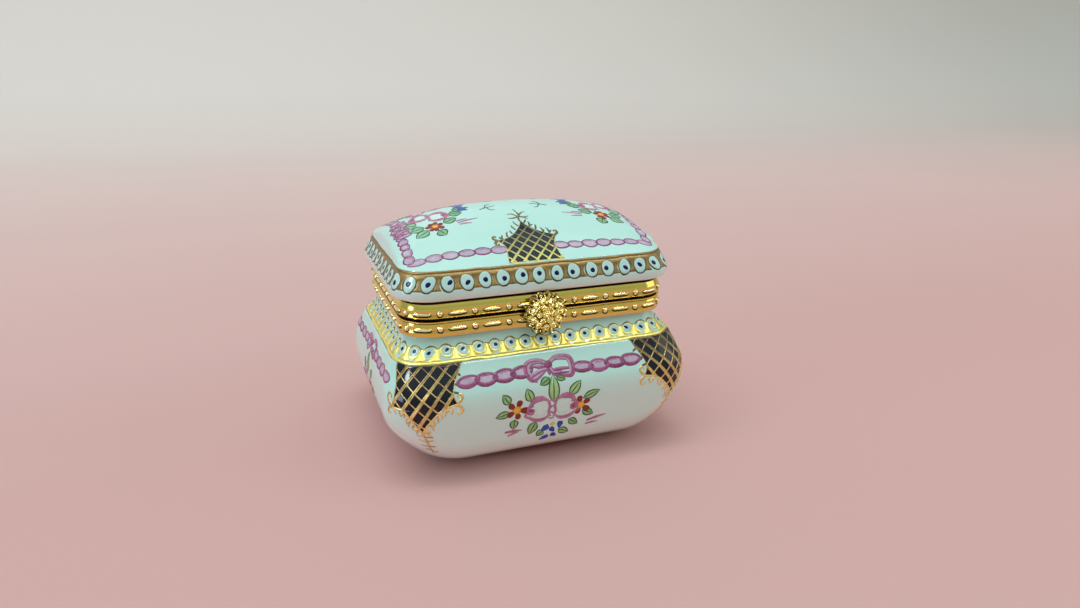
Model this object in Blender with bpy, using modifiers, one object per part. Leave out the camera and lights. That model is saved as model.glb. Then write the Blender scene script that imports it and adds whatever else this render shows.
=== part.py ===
"""Hinged porcelain trinket box.

A bombe bowl and a domed lid of glazed porcelain each carry a gilt brass bezel, cemented round
the rim. A five-knuckle hinge joins the bezels at the back, and a cast rosette on a spring
tongue snaps over a stud at the front.

The origin is on the table under the middle of the bowl. +Z is up, +X is the long side and the
clasp faces -Y. All sizes are in millimetres; MM turns them into Blender's metres.
"""

import math

import bmesh
import bpy
from mathutils import Matrix, Vector

MM = 0.001
COLLECTION = "porcelain_trinket_box"

# Plan of the bezels. Every section of the porcelain is this outline, moved in or out.
BEZEL_HALF_X = 27.0
BEZEL_HALF_Y = 20.2
BEZEL_CORNER = 6.4

# Heights. The seam is the plane where the bezels meet.
SEAM_Z = 30.3
SEAM_GAP = 0.14
BEZEL_HEIGHT = 3.05
BEZEL_WALL = 0.6
FLANGE_THICKNESS = 0.5
FLANGE_REACH = 4.4

# Bowl: (height, half length, half width, corner radius) from the foot up to the shoulder.
BOWL_PROFILE = (
    (0.0, 19.5, 14.0, 7.0),
    (1.0, 22.3, 18.4, 7.2),
    (4.5, 26.2, 23.6, 9.5),
    (10.5, 30.7, 25.5, 9.0),
    (17.0, 30.9, 25.6, 8.2),
    (22.4, 29.1, 22.3, 7.6),
)
BOWL_STEPS = 14
COVE_SAG = 0.45
COVE_STEPS = 4
NECK_INSET = 1.5
RIM_BELOW_SEAM = 0.8
WALL = 2.6
FLOOR_THICKNESS = 3.4
FOOT_RING_WIDTH = 3.0
FOOT_RECESS = 0.8

# Lid: heights are above the seam, offsets are from the bezel's outline.
LIP_Z = 3.75
LIP_OFFSET = 0.6
LID_WIDEST_Z = 5.1
LID_WIDEST_OFFSET = 1.2
CREASE_Z = 9.3
CREASE_OFFSET = -0.55
CREASE_CORNER = 6.0
LIP_CORNER = 6.8
DOME_RISE = 8.15
DOME_LONG_POWER = 1.85
DOME_LONG_ROUND = 0.32
DOME_CROSS_POWER = 1.35
DOME_CROSS_ROUND = 0.95
DOME_RIDGE_SOFTNESS = 0.15
LID_WALL = 2.4
DOME_RINGS = (0.985, 0.95, 0.89, 0.8, 0.68, 0.54, 0.4, 0.26, 0.14, 0.05)

# Cement beds fill the space between each porcelain neck and its bezel.
CEMENT_GAP = 0.08
CEMENT_HEIGHT = 2.0

# Hinge at the back.
HINGE_PIN_RADIUS = 0.35
HINGE_BORE_RADIUS = 0.4
KNUCKLE_RADIUS = 0.9
KNUCKLE_LENGTH = 2.4
KNUCKLE_GAP = 0.1
KNUCKLE_COUNT = 5
HINGE_AXIS_BEHIND_BEZEL = 1.3
LEAF_THICKNESS = 0.24
LEAF_HEIGHT = 2.3
LEAF_CLEARANCE = 0.06
LEAF_SEAM_CLEARANCE = 0.35

# Clasp at the front.
ROSETTE_RADIUS = 4.35
ROSETTE_BELOW_SEAM = 0.25
ROSETTE_PETALS = 14
ROSETTE_SCALLOP = 0.09
ROSETTE_STEPS_PER_PETAL = 6
ROSETTE_X = -0.5
TONGUE_WIDTH = 2.4
TONGUE_THICKNESS = 0.35
TONGUE_OFF_BEZEL = 0.42
TONGUE_BELOW_SEAM = 3.2
TONGUE_ABOVE_SEAM = 2.7
SOLDER_PAD_HEIGHT = 1.6
STUD_RADIUS = 0.55
STUD_LENGTH = 0.3
STUD_BELOW_SEAM = 1.6

# Each outline has this many steps round a corner, and along the long and the short sides.
CORNER_STEPS = 7
LONG_STEPS = 4
SHORT_STEPS = 3
ROUND_STEPS = 24


def clear_scene():
    for old in list(bpy.data.objects):
        bpy.data.objects.remove(old, do_unlink=True)


def new_collection(name):
    collection = bpy.data.collections.new(name)
    bpy.context.scene.collection.children.link(collection)
    return collection


def principled(name, colour, roughness, metallic):
    made = bpy.data.materials.new(name)
    made.use_nodes = True
    shader = made.node_tree.nodes["Principled BSDF"]
    shader.inputs["Base Color"].default_value = (*colour, 1.0)
    shader.inputs["Roughness"].default_value = roughness
    shader.inputs["Metallic"].default_value = metallic
    return made


def outline(half_x, half_y, corner):
    """Points of a rounded rectangle, anticlockwise from the front left corner."""
    points = []
    centres = (
        (-half_x + corner, -half_y + corner, math.pi),
        (half_x - corner, -half_y + corner, 1.5 * math.pi),
        (half_x - corner, half_y - corner, 0.0),
        (-half_x + corner, half_y - corner, 0.5 * math.pi),
    )
    for index, (x, y, start) in enumerate(centres):
        for step in range(CORNER_STEPS + 1):
            angle = start + 0.5 * math.pi * step / CORNER_STEPS
            points.append((x + corner * math.cos(angle), y + corner * math.sin(angle)))
        next_x, next_y, next_start = centres[(index + 1) % 4]
        target = (next_x + corner * math.cos(next_start), next_y + corner * math.sin(next_start))
        last = points[-1]
        steps = LONG_STEPS if index % 2 == 0 else SHORT_STEPS
        for step in range(1, steps):
            part = step / steps
            points.append((last[0] + (target[0] - last[0]) * part, last[1] + (target[1] - last[1]) * part))
    return points


def ring(half_x, half_y, corner, z):
    return [Vector((x, y, z)) * MM for x, y in outline(half_x, half_y, corner)]


def bezel_ring(offset, z, corner=None):
    """The bezel's outline moved outwards by offset, at height z."""
    if corner is None:
        corner = max(BEZEL_CORNER + offset, 1.2)
    return ring(BEZEL_HALF_X + offset, BEZEL_HALF_Y + offset, corner, z)


def loft(name, rings, material, collection, endless=False):
    """A closed solid through rings of equal length, capped at both ends unless it is endless."""
    shape = bmesh.new()
    rows = [[shape.verts.new(point) for point in points] for points in rings]
    pairs = list(zip(rows, rows[1:]))
    if endless:
        pairs.append((rows[-1], rows[0]))
    count = len(rows[0])
    for lower, upper in pairs:
        for i in range(count):
            j = (i + 1) % count
            shape.faces.new((lower[i], lower[j], upper[j], upper[i]))
    if not endless:
        shape.faces.new(rows[0])
        shape.faces.new(rows[-1])
    bmesh.ops.recalc_face_normals(shape, faces=shape.faces)
    return add_object(name, shape, material, collection)


def add_object(name, shape, material, collection):
    mesh = bpy.data.meshes.new(name)
    shape.to_mesh(mesh)
    shape.free()
    mesh.materials.append(material)
    mesh.shade_smooth()
    mesh.set_sharp_from_angle(angle=math.radians(35))
    made = bpy.data.objects.new(name, mesh)
    collection.objects.link(made)
    return made


def smooth_rows(rows, steps):
    """Rows of numbers taken along a smooth curve through the given rows, first number driving."""
    slopes = []
    for i, row in enumerate(rows):
        before = rows[max(i - 1, 0)]
        after = rows[min(i + 1, len(rows) - 1)]
        width = after[0] - before[0]
        slopes.append([(after[k] - before[k]) / width for k in range(1, len(row))])
    first = rows[0][0]
    last = rows[-1][0]
    taken = []
    for step in range(steps + 1):
        z = first + (last - first) * (step / steps) ** 1.5
        i = max(k for k in range(len(rows) - 1) if rows[k][0] <= z + 1e-9)
        width = rows[i + 1][0] - rows[i][0]
        t = (z - rows[i][0]) / width
        values = [z]
        for k in range(1, len(rows[0])):
            rise = (
                (2 * t**3 - 3 * t**2 + 1) * rows[i][k]
                + (t**3 - 2 * t**2 + t) * width * slopes[i][k - 1]
                + (3 * t**2 - 2 * t**3) * rows[i + 1][k]
                + (t**3 - t**2) * width * slopes[i + 1][k - 1]
            )
            values.append(rise)
        taken.append(values)
    return taken


def cove_rows(top_z):
    """Outer rows from the shoulder up a shallow hollow to the neck under the lower bezel."""
    shoulder_z, shoulder_x, shoulder_y, shoulder_corner = BOWL_PROFILE[-1]
    neck_corner = BEZEL_CORNER - NECK_INSET
    rows = []
    for step in range(1, COVE_STEPS + 1):
        t = step / COVE_STEPS
        sag = COVE_SAG * math.sin(math.pi * t)
        half_x = shoulder_x + (BEZEL_HALF_X - NECK_INSET - shoulder_x) * t - sag
        half_y = shoulder_y + (BEZEL_HALF_Y - NECK_INSET - shoulder_y) * t - sag
        corner = shoulder_corner + (neck_corner - shoulder_corner) * t
        rows.append((shoulder_z + (top_z - shoulder_z) * t, half_x, half_y, corner))
    return rows


def make_base_bowl(material, collection):
    """The bowl, walled evenly inside and out, on a flat foot ring with a shallow recess."""
    outer = smooth_rows(BOWL_PROFILE, BOWL_STEPS)
    neck_z = SEAM_Z - SEAM_GAP / 2 - BEZEL_HEIGHT
    rim_z = SEAM_Z - RIM_BELOW_SEAM
    foot = BOWL_PROFILE[0]
    foot_inner = (foot[1] - FOOT_RING_WIDTH, foot[2] - FOOT_RING_WIDTH, foot[3] - FOOT_RING_WIDTH)
    rings = [ring(*foot_inner, FOOT_RECESS), ring(*foot_inner, 0.0)]
    rings += [ring(x, y, corner, z) for z, x, y, corner in outer]
    rings += [ring(x, y, corner, z) for z, x, y, corner in cove_rows(neck_z)]
    rings.append(bezel_ring(-NECK_INSET, rim_z))
    mouth = -NECK_INSET - WALL
    rings.append(bezel_ring(mouth, rim_z))
    rings.append(bezel_ring(mouth, neck_z - 1.0))
    for z, x, y, corner in reversed(outer):
        if z > FLOOR_THICKNESS + 0.9:
            rings.append(ring(x - WALL, y - WALL, max(corner - WALL, 2.5), z))
    x, y, corner = inner_floor(outer)
    rings.append(ring(x + 1.0, y + 1.0, corner, FLOOR_THICKNESS + 0.35))
    rings.append(ring(x - 0.6, y - 0.6, corner, FLOOR_THICKNESS))
    return loft("base_bowl", rings, material, collection)


def inner_floor(outer):
    """Half length, half width and corner radius of the cavity's floor."""
    row = min(outer, key=lambda values: abs(values[0] - FLOOR_THICKNESS))
    return row[1] - WALL - 1.5, row[2] - WALL - 1.5, max(row[3] - WALL - 1.0, 2.5)


def soft_power(part):
    """0 at the ridge and 1 at the crease, a power curve rounded over at the ridge."""
    floor = DOME_RIDGE_SOFTNESS**DOME_CROSS_POWER
    top = (1.0 + DOME_RIDGE_SOFTNESS**2) ** (DOME_CROSS_POWER / 2) - floor
    return ((part**2 + DOME_RIDGE_SOFTNESS**2) ** (DOME_CROSS_POWER / 2) - floor) / top


def dome_rise(x, y, half_x, half_y, rise):
    """Height of the dome over the crease, a long cushion with rounded ends."""
    along = max(1.0 - abs(x / half_x) ** DOME_LONG_POWER, 0.0) ** DOME_LONG_ROUND
    across = max(1.0 - soft_power(y / half_y), 0.0) ** DOME_CROSS_ROUND
    return rise * along * across


def dome_rings(inset, z, rise, scales):
    """Rings of the dome, shrinking from the crease outline moved in by inset."""
    half_x = BEZEL_HALF_X + CREASE_OFFSET - inset
    half_y = BEZEL_HALF_Y + CREASE_OFFSET - inset
    edge = outline(half_x, half_y, max(CREASE_CORNER - inset, 2.5))
    rings = []
    for scale in scales:
        points = []
        for x, y in edge:
            edge_rise = dome_rise(x, y, half_x, half_y, rise)
            height = dome_rise(x * scale, y * scale, half_x, half_y, rise)
            points.append(Vector((x * scale, y * scale, z + height - edge_rise * scale**8)) * MM)
        rings.append(points)
    return rings


def make_lid_dome(material, collection):
    """The lid: a neck inside the upper bezel, a rounded lip, a sloping band and the dome."""
    neck_bottom = SEAM_Z + RIM_BELOW_SEAM
    lip_z = SEAM_Z + LIP_Z
    crease_z = SEAM_Z + CREASE_Z
    inner_crease_z = crease_z - 0.9
    mouth = -NECK_INSET - LID_WALL
    outer = [
        bezel_ring(-NECK_INSET, neck_bottom),
        bezel_ring(-NECK_INSET, lip_z - 0.05),
        bezel_ring(LIP_OFFSET - 0.5, lip_z, LIP_CORNER - 0.5),
        bezel_ring(LIP_OFFSET, lip_z + 0.15, LIP_CORNER),
        bezel_ring(LIP_OFFSET + 0.45, lip_z + 0.6, LIP_CORNER),
        bezel_ring(LID_WIDEST_OFFSET, SEAM_Z + LID_WIDEST_Z, LIP_CORNER),
        bezel_ring(LID_WIDEST_OFFSET - 0.12, SEAM_Z + LID_WIDEST_Z + 0.9, LIP_CORNER - 0.1),
        bezel_ring(0.25, SEAM_Z + 7.6, LIP_CORNER - 0.5),
        bezel_ring(CREASE_OFFSET, crease_z, CREASE_CORNER),
    ]
    outer += dome_rings(0.0, crease_z, DOME_RISE, DOME_RINGS)
    inner = dome_rings(LID_WALL, inner_crease_z, DOME_RISE - LID_WALL + 0.9, reversed((1.0,) + DOME_RINGS))
    inner.append(bezel_ring(mouth + 0.6, SEAM_Z + LID_WIDEST_Z))
    inner.append(bezel_ring(mouth, lip_z))
    inner.append(bezel_ring(mouth, neck_bottom))
    rings = outer + inner
    return loft_shell("lid_dome", rings, len(outer), material, collection)


def loft_shell(name, rings, turn, material, collection):
    """A bowl-like shell: rings up the outside to the crown at turn, then down the inside."""
    shape = bmesh.new()
    rows = [[shape.verts.new(point) for point in points] for points in rings]
    count = len(rows[0])
    pairs = [(rows[k], rows[k + 1]) for k in range(len(rows) - 1) if k != turn - 1]
    pairs.append((rows[-1], rows[0]))
    for lower, upper in pairs:
        for i in range(count):
            j = (i + 1) % count
            shape.faces.new((lower[i], lower[j], upper[j], upper[i]))
    shape.faces.new(rows[turn - 1])
    shape.faces.new(rows[turn])
    bmesh.ops.recalc_face_normals(shape, faces=shape.faces)
    return add_object(name, shape, material, collection)


def bezel_section(up):
    """(offset, height over the seam) round one bezel's section; up is 1 for the upper bezel."""
    near = SEAM_GAP / 2
    far = near + BEZEL_HEIGHT
    section = [
        (-FLANGE_REACH, near),
        (-0.12, near),
        (0.0, near + 0.14),
        (0.0, near + 0.45),
        (-0.08, near + 0.6),
        (0.0, near + 0.85),
        (0.0, far - 0.5),
        (-0.25, far),
        (-BEZEL_WALL, far),
        (-BEZEL_WALL, near + FLANGE_THICKNESS),
        (-FLANGE_REACH, near + FLANGE_THICKNESS),
    ]
    return [(offset, SEAM_Z + up * height) for offset, height in section]


def make_bezel(name, up, material, collection):
    rings = [bezel_ring(offset, z) for offset, z in bezel_section(up)]
    return loft(name, rings, material, collection, endless=True)


def make_cement(name, up, material, collection):
    """The bed between a porcelain neck and its bezel's wall."""
    outer = -BEZEL_WALL - CEMENT_GAP
    inner = -NECK_INSET + CEMENT_GAP
    near = SEAM_Z + up * (SEAM_GAP / 2 + FLANGE_THICKNESS + CEMENT_GAP)
    far = near + up * CEMENT_HEIGHT
    corners = ((outer, near), (outer, far), (inner, far), (inner, near))
    rings = [bezel_ring(offset, z) for offset, z in corners]
    return loft(name, rings, material, collection, endless=True)


def hinge_axis():
    return Vector((0.0, BEZEL_HALF_Y + HINGE_AXIS_BEHIND_BEZEL, SEAM_Z)) * MM


def turn_to_x():
    return Matrix.Rotation(0.5 * math.pi, 4, "Y")


def knuckle_x(index):
    """Middle of a knuckle; index runs from 0 at the -X end."""
    pitch = KNUCKLE_LENGTH + KNUCKLE_GAP
    return (index - (KNUCKLE_COUNT - 1) / 2) * pitch


def make_knuckle(index, material, collection):
    """A short tube on the hinge axis."""
    profile = (
        (HINGE_BORE_RADIUS, -0.5 * KNUCKLE_LENGTH),
        (KNUCKLE_RADIUS - 0.1, -0.5 * KNUCKLE_LENGTH),
        (KNUCKLE_RADIUS, -0.5 * KNUCKLE_LENGTH + 0.1),
        (KNUCKLE_RADIUS, 0.5 * KNUCKLE_LENGTH - 0.1),
        (KNUCKLE_RADIUS - 0.1, 0.5 * KNUCKLE_LENGTH),
        (HINGE_BORE_RADIUS, 0.5 * KNUCKLE_LENGTH),
    )
    rings = [round_ring(radius, x) for radius, x in profile]
    made = loft(f"hinge_knuckle_{index + 1}", rings, material, collection, endless=True)
    made.location = hinge_axis() + Vector((knuckle_x(index) * MM, 0.0, 0.0))
    return made


def round_ring(radius, x):
    """A circle about the X axis."""
    points = []
    for step in range(ROUND_STEPS):
        angle = 2 * math.pi * step / ROUND_STEPS
        points.append(Vector((x, radius * math.cos(angle), radius * math.sin(angle))) * MM)
    return points


def make_hinge_pin(material, collection):
    length = KNUCKLE_COUNT * (KNUCKLE_LENGTH + KNUCKLE_GAP) + 0.3
    shape = bmesh.new()
    bmesh.ops.create_cone(
        shape,
        cap_ends=True,
        segments=ROUND_STEPS,
        radius1=HINGE_PIN_RADIUS * MM,
        radius2=HINGE_PIN_RADIUS * MM,
        depth=length * MM,
        matrix=turn_to_x(),
    )
    made = add_object("hinge_pin", shape, material, collection)
    made.location = hinge_axis()
    return made


def add_box(name, low, high, material, collection):
    """A box between two corners in millimetres, its edges slightly rounded."""
    size = [(b - a) * MM for a, b in zip(low, high)]
    middle = [(a + b) / 2 * MM for a, b in zip(low, high)]
    shape = bmesh.new()
    bmesh.ops.create_cube(shape, size=1.0, matrix=Matrix.Diagonal((*size, 1.0)))
    made = add_object(name, shape, material, collection)
    made.location = middle
    bevel = made.modifiers.new("Soft edges", "BEVEL")
    bevel.width = 0.06 * MM
    bevel.segments = 1
    return made


def make_hinge_leaf(name, up, material, collection):
    """The thin plate that carries one bezel's knuckles, brazed to the back of the bezel."""
    half = 0.5 * KNUCKLE_COUNT * (KNUCKLE_LENGTH + KNUCKLE_GAP)
    back = BEZEL_HALF_Y + LEAF_CLEARANCE
    near = SEAM_Z + up * LEAF_SEAM_CLEARANCE
    far = near + up * LEAF_HEIGHT
    low = (-half, back, min(near, far))
    high = (half, back + LEAF_THICKNESS, max(near, far))
    return add_box(name, low, high, material, collection)


def make_clasp_tongue(material, collection):
    """The spring tongue: a strip behind the rosette, stepped back to meet the upper bezel."""
    front = -BEZEL_HALF_Y - TONGUE_OFF_BEZEL - TONGUE_THICKNESS
    back = -BEZEL_HALF_Y - TONGUE_OFF_BEZEL
    foot = -BEZEL_HALF_Y - LEAF_CLEARANCE
    bottom = SEAM_Z - TONGUE_BELOW_SEAM
    top = SEAM_Z + TONGUE_ABOVE_SEAM
    step = top - SOLDER_PAD_HEIGHT
    side = ((front, bottom), (back, bottom), (back, step), (foot, step), (foot, top), (front, top))
    rings = []
    for x in (ROSETTE_X - TONGUE_WIDTH / 2, ROSETTE_X + TONGUE_WIDTH / 2):
        rings.append([Vector((x, y, z)) * MM for y, z in side])
    return loft("clasp_tongue", rings, material, collection)


def rosette_ring(scale, depth):
    """A scalloped outline in the XZ plane, at a depth in front of the rosette's back."""
    points = []
    steps = ROSETTE_PETALS * ROSETTE_STEPS_PER_PETAL
    for step in range(steps):
        angle = 2 * math.pi * step / steps
        wave = abs(math.cos(0.5 * ROSETTE_PETALS * angle))
        radius = ROSETTE_RADIUS * scale * (1.0 - ROSETTE_SCALLOP + ROSETTE_SCALLOP * wave)
        points.append(Vector((radius * math.cos(angle), -depth, radius * math.sin(angle))) * MM)
    return points


def make_clasp_rosette(material, collection):
    """The cast flower: a scalloped rim, a hollow, a raised inner ring and a centre boss."""
    profile = (
        (0.82, 0.0),
        (0.97, 0.3),
        (1.0, 0.7),
        (0.9, 1.1),
        (0.72, 1.2),
        (0.62, 1.05),
        (0.5, 1.45),
        (0.38, 1.7),
        (0.28, 1.5),
        (0.18, 1.85),
        (0.06, 2.0),
    )
    rings = [rosette_ring(scale, depth) for scale, depth in profile]
    made = loft("clasp_rosette", rings, material, collection)
    back = BEZEL_HALF_Y + TONGUE_OFF_BEZEL + TONGUE_THICKNESS + LEAF_CLEARANCE
    made.location = Vector((ROSETTE_X, -back, SEAM_Z - ROSETTE_BELOW_SEAM)) * MM
    return made


def make_catch_stud(material, collection):
    """The low stud on the lower bezel that the tongue snaps over."""
    shape = bmesh.new()
    bmesh.ops.create_cone(
        shape,
        cap_ends=True,
        segments=ROUND_STEPS,
        radius1=STUD_RADIUS * MM,
        radius2=0.6 * STUD_RADIUS * MM,
        depth=STUD_LENGTH * MM,
        matrix=Matrix.Rotation(0.5 * math.pi, 4, "X"),
    )
    made = add_object("catch_stud", shape, material, collection)
    middle = -BEZEL_HALF_Y - LEAF_CLEARANCE - STUD_LENGTH / 2
    made.location = Vector((ROSETTE_X, middle, SEAM_Z - STUD_BELOW_SEAM)) * MM
    return made


def main():
    clear_scene()
    box = new_collection(COLLECTION)
    porcelain = principled("porcelain", (0.80, 0.87, 0.84), 0.12, 0.0)
    gilt = principled("gilt_brass", (0.90, 0.62, 0.20), 0.22, 1.0)
    steel = principled("hinge_pin_brass", (0.72, 0.52, 0.22), 0.3, 1.0)
    cement = principled("cement", (0.78, 0.76, 0.70), 0.9, 0.0)

    make_base_bowl(porcelain, box)
    make_lid_dome(porcelain, box)
    for name, cement_name, leaf_name, up in (
        ("lower_bezel", "base_cement", "lower_hinge_leaf", -1),
        ("upper_bezel", "lid_cement", "upper_hinge_leaf", 1),
    ):
        make_bezel(name, up, gilt, box)
        make_cement(cement_name, up, cement, box)
        make_hinge_leaf(leaf_name, up, gilt, box)
    for index in range(KNUCKLE_COUNT):
        make_knuckle(index, gilt, box)
    make_hinge_pin(steel, box)
    make_catch_stud(gilt, box)
    make_clasp_tongue(gilt, box)
    make_clasp_rosette(gilt, box)


main()
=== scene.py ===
import math
import random

import bpy
import numpy as np
from mathutils import Matrix, Vector


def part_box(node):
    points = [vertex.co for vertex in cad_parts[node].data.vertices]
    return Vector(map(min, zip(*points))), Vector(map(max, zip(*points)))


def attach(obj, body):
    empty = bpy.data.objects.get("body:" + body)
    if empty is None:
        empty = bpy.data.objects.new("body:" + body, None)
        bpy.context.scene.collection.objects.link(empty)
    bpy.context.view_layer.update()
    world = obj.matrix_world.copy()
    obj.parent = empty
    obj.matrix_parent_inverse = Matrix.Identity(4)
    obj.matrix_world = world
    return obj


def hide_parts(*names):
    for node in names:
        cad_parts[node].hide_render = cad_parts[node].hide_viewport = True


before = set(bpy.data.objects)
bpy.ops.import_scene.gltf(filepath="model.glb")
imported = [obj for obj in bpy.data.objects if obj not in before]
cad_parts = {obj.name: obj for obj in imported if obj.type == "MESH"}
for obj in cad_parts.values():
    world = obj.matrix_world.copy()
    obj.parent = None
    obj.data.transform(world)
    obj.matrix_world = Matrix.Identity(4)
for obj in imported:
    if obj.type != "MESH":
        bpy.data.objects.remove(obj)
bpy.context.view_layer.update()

# Looks of the hinged porcelain trinket box. All lengths below are in millimetres unless a name says
# otherwise; MM turns them into Blender's metres. The clasp faces -Y and the origin is under the bowl.
MM = 0.001
PI = math.pi
draw = random.Random(7)


# ---- Sizes from the frame ----

def box_mm(node):
    low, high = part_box(node)
    return np.array(low) / MM, np.array(high) / MM


def centre_and_half(node):
    """Middle of a CAD node's box, and half its size."""
    low, high = box_mm(node)
    return (low + high) / 2, (high - low) / 2


lower_high = box_mm("lower_bezel")[1]
upper_low, upper_high = box_mm("upper_bezel")
bowl_high = box_mm("base_bowl")[1]
lid_high = box_mm("lid_dome")[1]

HALF_X = lower_high[0]
HALF_Y = lower_high[1]
CORNER = 6.4
SEAM = (lower_high[2] + upper_low[2]) / 2
SEAM_GAP = upper_low[2] - lower_high[2]
BEZEL_HEIGHT = upper_high[2] - upper_low[2]
BEZEL_WALL = 0.6
FLANGE_REACH = 4.4
FLANGE_THICKNESS = 0.5
NECK_INSET = 1.5

# The bowl's profile from foot to shoulder: shares of the shoulder's height and of the bowl's half
# length and half width, then the corner radius.
SHOULDER = SEAM - 7.9
BOWL_SHARES = (
    (0.0, 0.6247, 0.5408, 7.0),
    (0.04464, 0.7144, 0.7108, 7.2),
    (0.20089, 0.8393, 0.9117, 9.5),
    (0.46875, 0.9835, 0.9851, 9.0),
    (0.75893, 0.9899, 0.9890, 8.2),
    (1.0, 0.9322, 0.8615, 7.6),
)
COVE_SAG = 0.45
BOWL_WALL = 2.6
BOWL_FLOOR = 3.4
FOOT_RING = 3.0
FOOT_RECESS = 0.8

# The lid: heights over the seam, offsets from the bezel's outline, corner radii.
LID_BAND = (
    (3.75, 0.1, 6.3),
    (3.9, 0.6, 6.8),
    (4.35, 1.05, 6.8),
    (5.1, 1.2, 6.8),
    (6.0, 1.08, 6.7),
    (7.6, 0.25, 6.3),
    (9.3, -0.55, 6.0),
)
CREASE, CREASE_OFFSET, DOME_CORNER = LID_BAND[-1]
DOME_X = HALF_X + CREASE_OFFSET
DOME_Y = HALF_Y + CREASE_OFFSET
DOME_Z = SEAM + CREASE
DOME_RISE = lid_high[2] - DOME_Z
LONG_POWER = 1.85
LONG_ROUND = 0.32
CROSS_POWER = 1.35
CROSS_ROUND = 0.95
RIDGE_SOFTNESS = 0.15
LID_WALL = 2.4
CEILING_DROP = 0.9

# Both necks end this far from the seam, round mouths with this corner radius.
NECK_END = 0.6
MOUTH_CORNER = 2.6


# ---- Surfaces, as functions of (distance along the outline, distance down the profile) ----

def smooth_rows(rows, z):
    """Rows at heights z on the smooth curve through the given rows."""
    count = len(rows)
    slopes = np.array([
        (rows[min(i + 1, count - 1)] - rows[max(i - 1, 0)])
        / (rows[min(i + 1, count - 1)][0] - rows[max(i - 1, 0)][0])
        for i in range(count)
    ])
    i = np.clip(np.searchsorted(rows[:, 0], z, side="right") - 1, 0, count - 2)
    width = (rows[i + 1, 0] - rows[i, 0])[:, None]
    t = (z - rows[i, 0])[:, None] / width
    return (
        (2 * t**3 - 3 * t**2 + 1) * rows[i]
        + (t**3 - 2 * t**2 + t) * width * slopes[i]
        + (3 * t**2 - 2 * t**3) * rows[i + 1]
        + (t**3 - t**2) * width * slopes[i + 1]
    )


def with_path(rows, zero_index):
    """Rows (z, half x, half y, corner) with the way down the front's profile put first, rising."""
    steps = np.hypot(np.diff(rows[:, 0]), np.diff(rows[:, 2]))
    way = np.concatenate([[0.0], np.cumsum(steps)])
    return np.column_stack([way[zero_index] - way, rows])[::-1]


def bowl_rows():
    """The bowl's outside from the foot up to the neck; the way down is zero at the shoulder."""
    rows = np.array(BOWL_SHARES)
    rows[:, 0] *= SHOULDER
    rows[:, 1] *= bowl_high[0]
    rows[:, 2] *= bowl_high[1]
    z = SHOULDER * np.linspace(0, 1, 121) ** 1.5
    belly = smooth_rows(rows, z)
    belly[:, 0] = z
    part = np.linspace(0, 1, 25)[1:, None]
    neck_z = SEAM - SEAM_GAP / 2 - BEZEL_HEIGHT
    neck = np.array([neck_z, HALF_X - NECK_INSET, HALF_Y - NECK_INSET, CORNER - NECK_INSET])
    cove = rows[-1] + (neck - rows[-1]) * part
    cove[:, 1:3] -= COVE_SAG * np.sin(PI * part)
    return with_path(np.vstack([belly, cove]), 120)


def lid_rows():
    """The lid's band from lip to crease; the way down is zero at the crease."""
    rows = np.array([(SEAM + z, HALF_X + o, HALF_Y + o, r) for z, o, r in LID_BAND])
    z = np.linspace(rows[0, 0], rows[-1, 0], 61)
    dense = smooth_rows(rows, z)
    dense[:, 0] = z
    return with_path(dense, 60)


BOWL = bowl_rows()
BAND = lid_rows()


def quarter_length(half_x, half_y, corner):
    """A quarter of the length round a rounded rectangle."""
    return half_x - corner + half_y - corner + corner * PI / 2


def outline_point(half_x, half_y, corner, s):
    """Point of a rounded rectangle at length s, anticlockwise from the middle of the front."""
    arc = corner * PI / 2
    quarter = quarter_length(half_x, half_y, corner)
    s = np.mod(s, 4 * quarter)
    k = np.floor(s / quarter)
    rest = s - k * quarter
    rest = np.where(k % 2 == 1, quarter - rest, rest)
    straight = half_x - corner
    angle = np.clip((rest - straight) / corner, 0, PI / 2)
    x = np.minimum(rest, straight) + corner * np.sin(angle)
    y = corner - half_y - corner * np.cos(angle) + np.maximum(rest - straight - arc, 0)
    return x * np.where(k < 2, 1, -1), y * np.where((k == 1) | (k == 2), -1, 1)


def anchor_length(half_x, half_y, corner, anchor):
    """Length at an anchor: 0 front, 2 right, 4 back, 6 left, and the corners' middles between."""
    quarter = quarter_length(half_x, half_y, corner)
    turn = anchor // 2
    if anchor % 2 == 0:
        return quarter * turn
    straight = half_x - corner if turn % 2 == 0 else half_y - corner
    return quarter * turn + straight + corner * PI / 2 / 2


def section_at(rows, t):
    """Height, half length, half width and corner radius at a distance t down a profile."""
    return [np.interp(t, rows[:, 0], rows[:, k]) for k in range(1, 5)]


def length_round(rows, t):
    return 4 * quarter_length(*section_at(rows, t)[1:])


def wall_point(rows, anchor, d, t):
    z, *size = section_at(rows, t)
    x, y = outline_point(*size, anchor_length(*size, anchor) + d)
    return np.column_stack([x, y, z])


def bowl_chart(anchor, mirror=1):
    """Maps (right, up) in mm, from the anchor on the shoulder line, onto the bowl."""
    return lambda p: wall_point(BOWL, anchor, mirror * p[:, 0], -p[:, 1])


def band_chart(anchor):
    return lambda p: wall_point(BAND, anchor, p[:, 0], -p[:, 1])


def soft_power(part):
    """0 at the ridge and 1 at the crease, a power curve rounded over at the ridge."""
    floor = RIDGE_SOFTNESS**CROSS_POWER
    top = (1 + RIDGE_SOFTNESS**2) ** (CROSS_POWER / 2) - floor
    return ((part**2 + RIDGE_SOFTNESS**2) ** (CROSS_POWER / 2) - floor) / top


def dome_rise(x, y, half_x, half_y, rise):
    along = np.maximum(1 - np.abs(x / half_x) ** LONG_POWER, 0) ** LONG_ROUND
    across = np.maximum(1 - soft_power(y / half_y), 0) ** CROSS_ROUND
    return rise * along * across


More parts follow.
